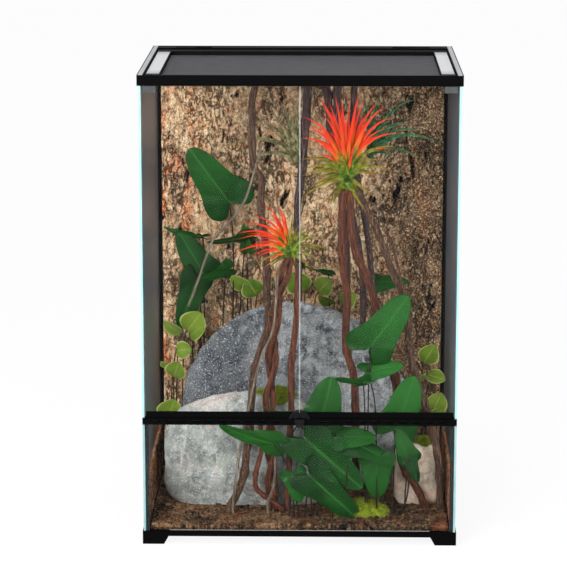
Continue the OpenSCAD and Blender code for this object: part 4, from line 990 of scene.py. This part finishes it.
# %% routes, in millimetres from the tank's middle
LEFT = [[-140, -138, 36], [-138, -138, 46], [-124, -132, 72], [-110, -128, 111], [-102, -124, 172],
    [-95, -120, 257], [-92, -112, 302], [-76, -100, 362], [-63, -85, 400], [-66, -70, 476],
    [-68, -60, 552], [-77, -58, 621], [-77, -58, 684], [-92, -58, 719], [-94, -58, 828],
    [-86, -58, 878]]
TWIST = [[-52, -120, 36], [-53, -120, 46], [-56, -120, 90], [-58, -120, 180], [-60, -116, 258],
    [-56, -110, 310], [-54, -106, 360], [-45, -104, 450], [-30, -104, 508], [-22, -104, 540]]
LOOP = [[-36, -138, 36], [-38, -138, 46], [-58, -138, 62], [-84, -138, 84], [-87, -138, 110],
    [-80, -138, 140], [-74, -134, 172], [-78, -122, 215]]
STRAIGHT = [[-24, -124, 36], [-24, -124, 46], [-22, -124, 110], [-20, -122, 180], [-17, -118, 251],
    [-17, -112, 330], [-8, -104, 414], [-6, -96, 470], [-4, -94, 530]]
TRUNK_ONE = [[246, -104, 36], [244, -104, 46], [226, -104, 85], [202, -104, 125], [190, -100, 200],
    [186, -84, 294], [170, -70, 330], [156, -64, 390], [146, -62, 440], [130, -60, 491],
    [108, -60, 540], [98, -60, 590], [96, -60, 640], [94, -60, 664]]
TRUNK_TWO = [[112, -118, 36], [112, -118, 46], [110, -116, 110], [108, -112, 238], [104, -100, 305],
    [92, -84, 345], [88, -70, 400], [92, -62, 450], [84, -58, 500], [80, -58, 550], [80, -58, 600],
    [82, -58, 640], [86, -60, 664]]
RIGHT = [[276, -104, 36], [276, -104, 46], [274, -104, 115], [262, -102, 180], [252, -98, 225],
    [238, -92, 264], [222, -82, 312], [211, -76, 380], [208, -72, 427], [198, -70, 463],
    [176, -68, 511], [158, -66, 561], [136, -64, 612], [110, -62, 664]]
TWIN = [[205, -82, 430], [198, -78, 480], [188, -76, 520], [176, -74, 566], [160, -72, 590]]
HANG = [[[15, 20, 884], [8, 20, 780], [3, 22, 706], [-8, 30, 600], [-6, 50, 500], [-4, 80, 400]],
    [[46, 22, 884], [58, 22, 780], [70, 22, 700], [84, 24, 600], [92, 45, 480], [92, 80, 370]],
    [[70, 14, 884], [72, 14, 800], [84, 10, 700], [100, 14, 600], [122, 40, 480], [124, 80, 340]],
    [[106, 30, 884], [102, 30, 800], [106, 30, 700], [124, 34, 600], [140, 50, 480],
        [150, 80, 320]]]
TWIGS = [[[-76, -56, 756], [-88, -65, 707], [-111, -72, 641], [-150, -66, 590], [-173, -60, 561],
    [-198, -56, 491], [-220, -50, 431]],
    [[-130, -146, 36], [-130, -146, 60], [-115, -146, 180], [-98, -140, 255], [-78, -126, 340],
        [-54, -129, 400], [-46, -129, 466], [-45, -127, 512]],
    [[-62, -146, 36], [-62, -146, 60], [-50, -144, 100], [-48, -140, 190]]]


def vine(points, thick, thin, steps=12, **more):
    """A stem along a route in millimetres."""
    return stem(curve(room(points), steps), thick, thin, **more)


# %% lianas
hanging = [vine(points, 0.00825 if k < 3 else 0.0064, 0.0060 if k < 3 else 0.0051, seed=10 + k,
    rib=0.18, knuckles=(0.2, 0.37)) for k, points in enumerate(HANG)]
twigs = [vine(points, 0.0026, 0.0021, 9, sides=10, ribs=2, seed=20 + k,
    knuckles=(0.2, 0.42, 0.63, 0.85)) for k, points in enumerate(TWIGS)]
for name, node, finish, slot, stems in (
        ("liana_left_detail", "liana_left", grey_brown, "liana", [vine(LEFT, 0.0075, 0.0066, seed=2,
            knuckles=(0.1, 0.2, 0.34, 0.45, 0.56, 0.71, 0.86))]),
        ("liana_twist_detail", "liana_twist", red_brown, "liana", [
            wound_pair(curve(room(TWIST), 18), 0.00645, 0.170, seed=3, ribs=3, rib=0.16),
            vine(LOOP, 0.005, 0.0044, seed=4, knuckles=(0.25, 0.5, 0.8))]),
        ("liana_straight_detail", "liana_straight", red_brown, "liana", [
            vine(STRAIGHT, 0.0064, 0.006, seed=5, ribs=3, knuckles=(0.3, 0.62))]),
        ("liana_trunk_detail", "liana_trunk", red_brown, "liana", [
            vine(TRUNK_ONE, 0.0075, 0.0071, seed=6, rib=0.16,
                knuckles=(0.12, 0.3, 0.42, 0.6, 0.74, 0.86)),
            vine(TRUNK_TWO, 0.0075, 0.0071, seed=7, rib=0.16, knuckles=(0.2, 0.5, 0.82))]),
        ("liana_right_detail", "liana_right", grey_brown, "liana", [
            vine(RIGHT, 0.0075, 0.006, seed=8, knuckles=(0.1, 0.22, 0.34, 0.5, 0.64, 0.8)),
            vine(TWIN, 0.0026, 0.0026, sides=10, seed=9)]),
        ("hanging_lianas_detail", "hanging_lianas", plum_brown, "liana", hanging),
        ("twigs_detail", "thin_twigs", twig_wood, "twig", twigs)):
    piece(name, joined(stems), finish, instead=[node])

# %% [markdown]
# ## Leaves
# The arrow-shaped leaf is described from the point where its stalk joins: one distance for every
# direction gives the tip, the two rounded lobes and the notch between them in a single formula. The
# blade is a lens, closed at its rim, folded a little along the midrib and waved towards its edge.

# %% leaf shapes
def leaf_axes(a, b, roll):
    """Along the leaf, across it and out of its upper face, turned about the midrib by roll."""
    u = unit(b - a)
    side = unit(np.cross(u, [0, -1.0, 0]))
    up = np.cross(side, u)
    c, s = np.cos(np.radians(roll)), np.sin(np.radians(roll))
    return u, c * side + s * up, c * up - s * side


ARROW_RIM = np.array([[1, 0], [0.985, 0.05], [0.94, 0.105], [0.85, 0.16], [0.76, 0.198],
    [0.64, 0.23], [0.52, 0.258], [0.4, 0.275], [0.29, 0.3], [0.2, 0.325], [0.125, 0.355],
    [0.05, 0.388], [-0.03, 0.405], [-0.11, 0.4], [-0.18, 0.36], [-0.24, 0.29], [-0.25, 0.22],
    [-0.21, 0.15], [-0.14, 0.09], [-0.03, 0]])
ARROW_TURNS, ARROW_REACH = np.arctan2(*ARROW_RIM.T[::-1]), np.hypot(*ARROW_RIM.T)
FOLD, FOLD_SOFT, FOLD_SUNK = np.tan(np.radians(14)), 0.0012, 0.035


def folded(y):
    """Height of a leaf that is folded along its midrib, a rounded V, at a distance y from it."""
    return FOLD * (np.sqrt(y ** 2 + FOLD_SOFT) - FOLD_SUNK)


def arrow_leaf(a, b, wide, roll, seed, rings=9, around=120, thick=0.0007):
    """Rings round the stalk's end. At turn q the rim lies at reach(q) times the leaf's length; the
    height is the fold, plus waves that grow towards the rim, less a droop towards the tip."""
    rng = np.random.default_rng(seed)
    long = np.linalg.norm(b - a)
    u, v, w = leaf_axes(a, b, roll)
    q = circle(around)
    bent = np.minimum(q, 2 * np.pi - q)
    reach = np.interp(bent, ARROW_TURNS, ARROW_REACH)
    reach = (reach + np.roll(reach, 1) + np.roll(reach, -1)) / 3
    share = np.sin(np.linspace(0, np.pi / 2, rings + 1)[1:])
    share = np.concatenate([share, share[-2::-1]])[:, None]
    face = np.concatenate([np.ones(rings), -np.ones(rings - 1)])[:, None]
    x = share * reach * np.cos(q)
    y = share * reach * np.sin(q) * wide
    wave = 0.040 * share ** 2 * np.sin(3 * q + rng.uniform(0, 6.3)) \
        + 0.016 * share ** 3 * np.sin(7 * q + rng.uniform(0, 6.3))
    droop = rng.uniform(0.08, 0.2) * np.maximum(x, 0) ** 2 + 0.2 * np.maximum(-x, 0) ** 2 \
        + 0.9 * y ** 2
    z = folded(y) + wave - droop
    lens = thick * face * np.sqrt(np.clip(1 - share ** 2, 0, 1))
    rows = a + (x * long)[..., None] * u - (y * long)[..., None] * v \
        + ((z * long) + lens)[..., None] * w
    low = folded(0) * long
    points, quads, triangles = closed_grid(rows, a + (low + thick) * w, a + (low - thick) * w)
    return points, quads[:, ::-1], triangles[:, ::-1], {"along": with_poles(x, 0.0),
        "across": with_poles(y, 0.0), "tone": np.full(len(points), rng.uniform(0, 1))}


def strap(path, side, width, thick, channel, sides, tone):
    """A flat closed blade carried along a path: a flattened ring, its two edges lifted by channel
    times the width, as wide as width says at each share of the length."""
    way = unit(np.gradient(path, axis=0))
    v = unit(side - (way * side).sum(-1, keepdims=True) * way)
    w = np.cross(way, v)
    s = np.linspace(0, 1, len(path))
    a = circle(sides)
    half = width[:, None]
    flat = half * np.cos(a)
    lift = np.minimum(thick, half) * np.sin(a) + channel * half * np.cos(a) ** 2
    rings = path[:, None] + flat[..., None] * v[:, None] + lift[..., None] * w[:, None]
    points, quads, triangles = closed_grid(rings[1:-1], path[0], path[-1])
    along = np.concatenate([np.repeat(s[1:-1], sides), [0, 1]])
    across = np.concatenate([np.tile(np.cos(a), len(path) - 2), [0, 0]]) * 0.4
    return points, quads, triangles, {"along": along, "across": across,
        "tone": np.full(len(points), tone)}


def plain(points, along=0.0, tone=0.0):
    """A leaf's three numbers, the same at all points."""
    return {"along": np.full(len(points), along), "across": np.zeros(len(points)),
        "tone": np.full(len(points), tone)}


def round_leaf(a, b, wide, roll, seed):
    """A strap as wide as a rounded leaf: its half width follows a sine that leans to the stalk."""
    rng = np.random.default_rng(seed)
    u, v, w = leaf_axes(a, b, roll)
    long = np.linalg.norm(b - a)
    s = np.linspace(0, 1, 20)
    bow = 0.10 * long * np.sin(np.pi * s) * rng.uniform(0.2, 1.2)
    path = a + s[:, None] * (b - a) + bow[:, None] * w
    width = 0.43 * wide * long * np.sin(np.pi * s ** 0.85) ** 0.72
    return strap(path, v, np.maximum(width, 0.0002), 0.0007, -0.18, 20, rng.uniform(0, 1))


def stalk(foot, bend, end, inside, radius):
    """A bare round stalk from the ground over its bend into the leaf."""
    path = curve(np.array([foot, bend, end, inside]), 9)
    *made, _ = stem(path, radius, radius * 0.7, sides=9, ribs=2, rib=0.05, lumpy=0.03)
    return *made, plain(made[0], along=-1.0, tone=0.5)


def plant(rows, leaf, radius, seed):
    """All leaves and stalks of one plant. A row is foot, bend, stalk end, tip, roll, width."""
    parts = []
    for k, (foot, bend, end, tip, roll, wide) in enumerate(rows):
        a, b = room(end), room(tip)
        parts.append(leaf(a, b, wide, roll, seed + k))
        parts.append(stalk(room([*foot, 33]), room(bend), a, a + 0.1 * (b - a), radius))
    return joined(parts)


# %% leaf finish
def leaf_finish(name, deep_green, green, bright, rib, stalk_colour, count, gloss=0.38, edge=None):
    """Two greens in clouds, each leaf a little different, painted shade near the stalk, pale ribs,
    and a stalk of its own.
    """
    made, tree = material(name)
    lines = use(tree, veins, Count=count, Slope=0.75, Rib=0.012)
    tone, along = field(tree, "tone"), field(tree, "along")
    body = use(tree, mottle, Size=55.0, Low=0.36, High=0.66, Dark=deep_green, Light=green)["Color"]
    body = mixed(tree, times(tree, tone, 0.6), body, bright)
    # darker green towards the stalk: painted shade
    body = laid(tree, body, (deep_green, along, 0.55, -0.15, 0.45))
    body = mixed(tree, times(tree, lines["Side"], 0.07), body, rib)
    body = mixed(tree, times(tree, lines["Rib"], 0.4), body, rib)
    if edge:
        across = sums(tree, "ABSOLUTE", field(tree, "across"))
        body = laid(tree, body, (edge, across, 0.33, 0.395, 0.8))
    height = sums(tree, "SUBTRACT", noise(tree, 90.0, 3.0),
        times(tree, sums(tree, "MAXIMUM", lines["Side"], lines["Rib"]), 0.3))
    return coat(made, mixed(tree, ramp(tree, along, -0.6, -0.5), stalk_colour, body),
        ramp(tree, noise(tree, 40.0), 0.3, 0.7, gloss, gloss + 0.12), (height, 0.0012, 0.6),
        Specular_IOR_Level=0.10)


arrow_green = leaf_finish("arrow leaf", paint(2, 18, 4), paint(6, 48, 9), paint(34, 100, 28),
    paint(48, 106, 42), paint(30, 24, 16), 8.0)
round_green = leaf_finish("round leaf", paint(56, 80, 16), paint(88, 110, 28), paint(120, 140, 48),
    paint(156, 166, 90), paint(70, 52, 30), 7.0, 0.45, paint(176, 184, 112))

# %% rows of the plants: foot, bend, stalk end, tip, roll, width
REAR_ROWS = [
    [[-150, 172], [-140, 165, 480], [-149, 128, 611], [-228, 118, 713], 6, 1.05],
    [[-205, 170], [-208, 160, 380], [-204, 158, 457], [-251, 150, 540], -10, 1.0],
    [[-222, 168], [-224, 160, 330], [-215, 150, 440], [-250, 146, 337], 8, 0.8],
    [[-205, 170], [-200, 166, 460], [-205, 160, 528], [-284, 152, 541], 62, 0.7],
    [[-150, 172], [-120, 168, 470], [-112, 150, 528], [-192, 140, 512], 58, 1.0],
    [[-170, 172], [-160, 160, 400], [-150, 152, 460], [-206, 142, 436], 40, 1.1],
    [[-110, 172], [-112, 168, 420], [-112, 165, 500], [-124, 160, 552], 35, 0.9],
    [[60, 172], [56, 168, 400], [52, 165, 452], [-8, 152, 470], 64, 0.8],
    [[150, 172], [150, 168, 360], [150, 165, 432], [218, 160, 440], 45, 0.9]]
RIGHT_ROWS = [
    [[132, -150], [132, -148, 240], [136, -138, 373], [209, -142, 469], 0, 1.0],
    [[128, -150], [126, -150, 230], [122, -146, 302], [66, -150, 306], 55, 1.2],
    [[150, -150], [146, -150, 250], [130, -140, 322], [200, -136, 338], 48, 0.9],
    [[180, -148], [184, -150, 160], [187, -150, 214], [224, -150, 312], -6, 1.1],
    [[205, -146], [206, -152, 90], [212, -156, 156], [190, -160, 212], -4, 1.0],
    [[196, -148], [210, -152, 80], [214, -156, 150], [232, -160, 104], 12, 0.8]]
FRONT_ROWS = [
    [[36, -168], [34, -164, 130], [40, -162, 226], [62, -160, 316], 0, 1.25],
    [[24, -168], [20, -168, 120], [16, -170, 192], [124, -172, 92], 4, 0.8],
    [[10, -168], [14, -170, 80], [24, -176, 120], [116, -180, 32], 0, 0.8],
    [[64, -168], [66, -166, 150], [78, -164, 198], [150, -162, 200], 52, 1.1],
    [[90, -160], [92, -166, 130], [104, -164, 186], [180, -170, 152], 38, 0.9],
    [[150, -160], [150, -164, 90], [150, -166, 152], [150, -170, 72], 0, 1.15],
    [[-20, -166], [-18, -170, 90], [-12, -172, 124], [2, -176, 66], 10, 1.1],
    [[-10, -168], [-20, -170, 130], [-52, -168, 186], [-160, -166, 214], 30, 0.7],
    [[0, -168], [-20, -164, 180], [10, -160, 240], [-80, -164, 248], 66, 0.6]]
ROUND_LEFT = [
    [[-262, 165], [-256, 165, 280], [-246, 160, 326], [-284, 156, 352], 40, 1.0],
    [[-250, 166], [-244, 165, 290], [-236, 160, 330], [-206, 152, 372], 0, 1.3],
    [[-250, 166], [-244, 164, 270], [-230, 158, 318], [-196, 150, 345], 40, 1.1],
    [[-262, 160], [-264, 150, 230], [-258, 140, 292], [-224, 132, 300], 20, 1.2],
    [[-270, 160], [-268, 152, 210], [-262, 140, 258], [-288, 120, 276], 48, 1.0],
    [[-270, 150], [-268, 142, 200], [-262, 130, 240], [-250, 110, 278], 10, 1.2],
    [[-276, 140], [-276, 130, 120], [-274, 110, 160], [-258, 90, 204], 0, 1.3]]
ROUND_MIDDLE = [
    [[-100, 176], [-104, 174, 360], [-108, 172, 420], [-146, 166, 446], 30, 1.0],
    [[-100, 176], [-96, 172, 350], [-92, 168, 404], [-112, 160, 440], 0, 1.4],
    [[10, 176], [6, 174, 350], [6, 172, 412], [-20, 166, 452], 10, 1.4],
    [[10, 176], [24, 174, 360], [34, 172, 410], [60, 166, 440], 20, 1.3],
    [[66, 176], [66, 174, 340], [66, 172, 388], [34, 166, 404], 40, 1.1],
    [[66, 176], [74, 174, 330], [84, 172, 384], [110, 166, 410], 20, 1.2]]
ROUND_RIGHT = [
    [[268, 40], [266, 40, 250], [246, 36, 296], [268, 30, 336], 0, 1.1],
    [[268, 40], [268, 40, 240], [252, 36, 272], [290, 28, 262], 42, 1.0],
    [[272, 40], [272, 40, 160], [266, 38, 196], [282, 32, 236], 0, 1.2],
    [[272, 40], [274, 40, 130], [274, 36, 168], [284, 30, 206], 16, 1.2],
    [[268, 40], [262, 40, 220], [250, 38, 262], [226, 30, 278], 36, 1.0]]

# %% leafy plants
for name, rows in (("rear", REAR_ROWS), ("right", RIGHT_ROWS), ("front", FRONT_ROWS)):
    piece(f"arrow_plant_{name}_detail", plant(rows, arrow_leaf, 0.0017, len(rows) * 7), arrow_green,
        instead=[f"arrow_plant_{name}"])
for name, rows in (("left", ROUND_LEFT), ("middle", ROUND_MIDDLE), ("right", ROUND_RIGHT)):
    piece(f"round_plant_{name}_detail", plant(rows, round_leaf, 0.0018, len(rows) * 7), round_green,
        instead=[f"round_plant_{name}"])

# %% [markdown]
# ## Air plants
# An air plant is a fountain of narrow channelled blades from one bulb. Each blade is a strap on a
# bowed path that thins to a point. The photographed ones have their tips at known places, and a
# few more blades fill the gaps behind. The colour turns from green to red along the blade.

# %% air plants
VIEW_SLOPE, BOW, SPARSE = 0.17, 0.38, 11


def towards_tips(core, tips, depth, seed):
    """Tips (x, z) seen from the front, spread in depth; a farther tip is lowered by the slope of
    the camera's view, so that it keeps its place in the picture."""
    rng = np.random.default_rng(seed)
    x, z = np.array(tips, float).T
    away = rng.uniform(-depth, depth, len(x))
    return np.stack([x, core[1] + away, z - VIEW_SLOPE * away], -1)


def fountain(core, tips, ripe, depth, width, bulb, seed, full=True):
    """Blades from the core (mm) to their tips. A blade leaves the core steeply and bends outwards:
    its middle is lifted by BOW times its reach to the side. A full plant has a shorter blade beside
    every long one. Any other has blades to its first SPARSE tips only, and its further tips do no
    more than keep the random draws in their order. A bulb closes the core."""
    rng = np.random.default_rng(seed)
    parts = []
    ends = towards_tips(core, tips, depth, seed)
    near = core + (ends - core) * rng.uniform(0.55, 0.85, (len(ends), 1)) \
        + rng.normal(0, 7, ends.shape)
    ends = np.vstack([ends, near]) if full else ends[:SPARSE]
    s = np.linspace(0, 1, 18)[:, None]
    for end in ends:
        start = np.array(core, float) + 0.3 * bulb * unit(end - core) + rng.normal(0, 1.2, 3)
        step = end - start
        lift = 0.12 * step[2] + BOW * abs(step[0])
        bend = start + step * [0.3, 0.5, 0.5] + [0, rng.normal(0, 5), lift]
        path = (1 - s) ** 2 * start + 2 * s * (1 - s) * bend + s ** 2 * end
        half = 0.5 * width * rng.uniform(0.75, 1.1) * (1 - s[:, 0]) ** 0.95
        side = unit(np.cross(end - start, [0.15, 1.0, 0.25]))
        parts.append(strap(room(path), side, np.maximum(half, 0.25) / 1000, 0.0005, 0.55, 10, ripe))
    size = np.array([[bulb, bulb, 1.25 * bulb]]) / 1000
    *heart, _ = scattered(lump(10, 18), room(core)[None], size, np.eye(3)[None], np.zeros(1))
    return joined([*parts, (*heart, plain(heart[0]))])


def blade_finish(name, base, green, orange, red, tip):
    """Green at the foot; where the blade is ripe it turns orange and then red towards its tip. The
    middle of each blade, down its channel, is darkened as painted shade.
    """
    made, tree = material(name)
    along, ripe = field(tree, "along"), field(tree, "tone")
    cloud = use(tree, mottle, Size=120.0, Low=0.4, High=0.62, Dark=base, Light=green)["Color"]
    hot = laid(tree, cloud, (orange, along, 0.20, 0.40, 1.0), (red, along, 0.32, 0.55, 1.0))
    calm = laid(tree, cloud, (tip, along, 0.55, 1.0, 0.8))
    across = sums(tree, "ABSOLUTE", field(tree, "across"))
    fine = noise(tree, 500.0, 3.0, 0.6)
    # the blade's middle, along its channel, takes the base green as painted shade
    return coat(made, laid(tree, mixed(tree, ripe, calm, hot), (base, across, 0.16, 0.0, 0.55)),
        ramp(tree, fine, 0.3, 0.7, 0.42, 0.6), (fine, 0.0004, 0.5), Specular_IOR_Level=0.18)


red_blades = blade_finish("red air plant", paint(44, 70, 12), paint(110, 132, 32),
    paint(214, 96, 18), paint(214, 40, 10), paint(132, 118, 36))
olive_blades = blade_finish("olive air plant", paint(66, 62, 36), paint(132, 124, 86),
    paint(120, 104, 72), paint(110, 90, 64), paint(122, 108, 78))
green_blades = blade_finish("green air plant", paint(14, 50, 26), paint(60, 112, 70),
    paint(90, 140, 90), paint(110, 140, 80), paint(78, 112, 66))
LARGE_RED = [(29, 850), (52, 838), (64, 852), (77, 848), (94, 848), (112, 856), (127, 850),
    (154, 840), (162, 827), (179, 807), (197, 776), (4, 807), (16, 791), (41, 813), (-2, 766),
    (41, 753), (60, 800), (104, 808), (140, 806), (86, 812), (120, 790), (166, 784), (24, 764)]
LARGE_GREEN = [(-2, 723), (-2, 702), (-2, 690), (24, 684), (-2, 646), (41, 635), (187, 749),
    (145, 696), (140, 651), (138, 627), (127, 621), (62, 640), (106, 624), (22, 720), (160, 722),
    (176, 700), (12, 664), (70, 742), (112, 748), (92, 628)]
SMALL_RED = [(-72, 643), (-95, 621), (-117, 605), (-124, 586), (-123, 574), (-132, 546), (-101, 540),
    (-43, 643), (-34, 633), (-60, 628), (-84, 604), (-104, 584), (-80, 580), (-52, 612), (-100, 562)]
SMALL_GREEN = [(-14, 633), (1, 606), (18, 600), (34, 592), (52, 578), (60, 552), (44, 530),
    (26, 514), (2, 500), (-40, 504), (-74, 516), (-10, 590), (-30, 596), (20, 560), (-86, 524)]
OLIVE = [(-155, 737), (-122, 703), (-81, 783), (-44, 832), (-8, 840), (9, 791), (-100, 748),
    (-62, 806), (-26, 818), (18, 760), (-60, 770), (30, 740), (-90, 690), (-40, 680), (4, 806)]
GREEN = [(120, 848), (156, 842), (226, 829), (278, 742), (245, 708), (121, 775), (184, 714),
    (190, 812), (214, 782), (246, 764), (170, 800), (206, 738), (228, 720), (150, 780), (160, 700),
    (236, 800)]
LARGE_CORE, SMALL_CORE = (89, -57, 688), (-22, -101, 548)
for name, finish, slot, fountains in (
        ("large", red_blades, "red_blade", [(LARGE_CORE, LARGE_RED, 1.0, 34, 12, 8, 41),
            (LARGE_CORE, LARGE_GREEN, 0.1, 36, 14, 8, 42)]),
        ("small", red_blades, "red_blade", [(SMALL_CORE, SMALL_RED, 1.0, 26, 9, 6, 43),
            (SMALL_CORE, SMALL_GREEN, 0.1, 26, 10, 6, 44)]),
        ("olive", olive_blades, "olive_blade", [((-10, 12, 713), OLIVE, 0.0, 26, 17, 9, 45, False)]),
        ("green", green_blades, "green_blade", [((135, 26, 724), GREEN, 0.0, 26, 15, 9, 46, False)])):
    piece(f"air_plant_{name}_detail", joined([fountain(*row) for row in fountains]), finish,
        instead=[f"air_plant_{name}"])

# %% [markdown]
# ## The lid's screen
# The solid of the screen is a thin plate. Real screen cloth is wire: two sets of straight wires at
# right angles, one lying on the other. At this distance it reads as a dark veil, and close up the
# holes are there.

# %% screen
def wires(start, end, step, count, radius):
    """Straight square wires side by side: one stretched lump of eight corners, copied."""
    along = end - start
    side = unit(step)
    corner = radius * np.array([side + UP, -side + UP, -side - UP, side - UP])
    first = start + np.arange(count)[:, None] * step
    rings = np.stack([first[:, None] + corner, first[:, None] + corner + along], 1)
    base = (np.arange(count) * 8)[:, None, None]
    walls = np.array([[0, 1, 5, 4], [1, 2, 6, 5], [2, 3, 7, 6], [3, 0, 4, 7], [3, 2, 1, 0],
        [4, 5, 6, 7]])
    if np.dot(np.cross(side, UP), along) < 0:
        walls = walls[:, ::-1]
    return rings.reshape(-1, 3), (walls[None] + base).reshape(-1, 4), np.zeros((0, 3), int), {}


def worn(name, dark, light, size, rough, depth, **constants):
    """A plain finish between two colours, with its roughness in a range."""
    made, tree = material(name)
    fine = noise(tree, *size)
    return coat(made, mixed(tree, fine, dark, light), ramp(tree, fine, 0.3, 0.7, *rough),
        (fine, depth, 0.3), **constants)


screen_wire = worn("screen wire", paint(66, 66, 70), paint(104, 104, 109), (30.0, 4.0), (0.45, 0.6),
    0.0001, Metallic=0.3)
low, high = (np.array(corner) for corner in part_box("lid_screen"))
pitch, wire = 0.0016, 0.00025
across = wires(np.array([low[0], low[1] + wire, low[2] + wire]),
    np.array([high[0], low[1] + wire, low[2] + wire]), np.array([0, pitch, 0]),
    int((high[1] - low[1]) / pitch), wire)
endways = wires(np.array([low[0] + wire, low[1], low[2] + 3 * wire]),
    np.array([low[0] + wire, high[1], low[2] + 3 * wire]), np.array([pitch, 0, 0]),
    int((high[0] - low[0]) / pitch), wire)
piece("lid_screen_detail", joined([across, endways]), screen_wire, body="lid",
    instead=["lid_screen"], smooth=False)

# %% [markdown]
# ## The doors' meeting edges
# Where the two doors meet, their polished edges catch the light and draw a thin white line down the
# front. A real edge does this by bending light inside the glass; here the line is a painted
# highlight: a pale strip a third of a millimetre wide lies on each door's edge and turns with it.

# %% painted edge highlights
STRIP_X, STRIP_Y = np.array([0.0005, 0.00085]), (-0.21975, -0.2194)
STRIP_Z = (0.2640, 0.2642, 0.8885, 0.8887)
# the strips' pale colour is a painted highlight where the doors' edges catch the light
edge_highlight = worn("painted edge highlight", paint(190, 204, 204), paint(222, 230, 230), (12.0, 3.0),
    (0.2, 0.35), 0.0001)


def strip(side):
    """Painted highlight: a thin upright bar on the front face of one door's edge, a narrow ring at each
    end.
    """
    (x0, x1), (y0, y1) = side * STRIP_X, STRIP_Y
    rings = np.array([[[x0, y1, z], [x0, y0, z], [x1, y0, z], [x1, y1, z]] for z in STRIP_Z])
    points, quads, triangles = closed_grid(rings, rings[0].mean(0), rings[-1].mean(0))
    return points, quads[:, ::side], triangles[:, ::side], {}


for side, name in ((-1, "left"), (1, "right")):
    piece(f"{name}_door_edge_highlight", strip(side), edge_highlight, body=f"{name}_door",
        smooth=False)
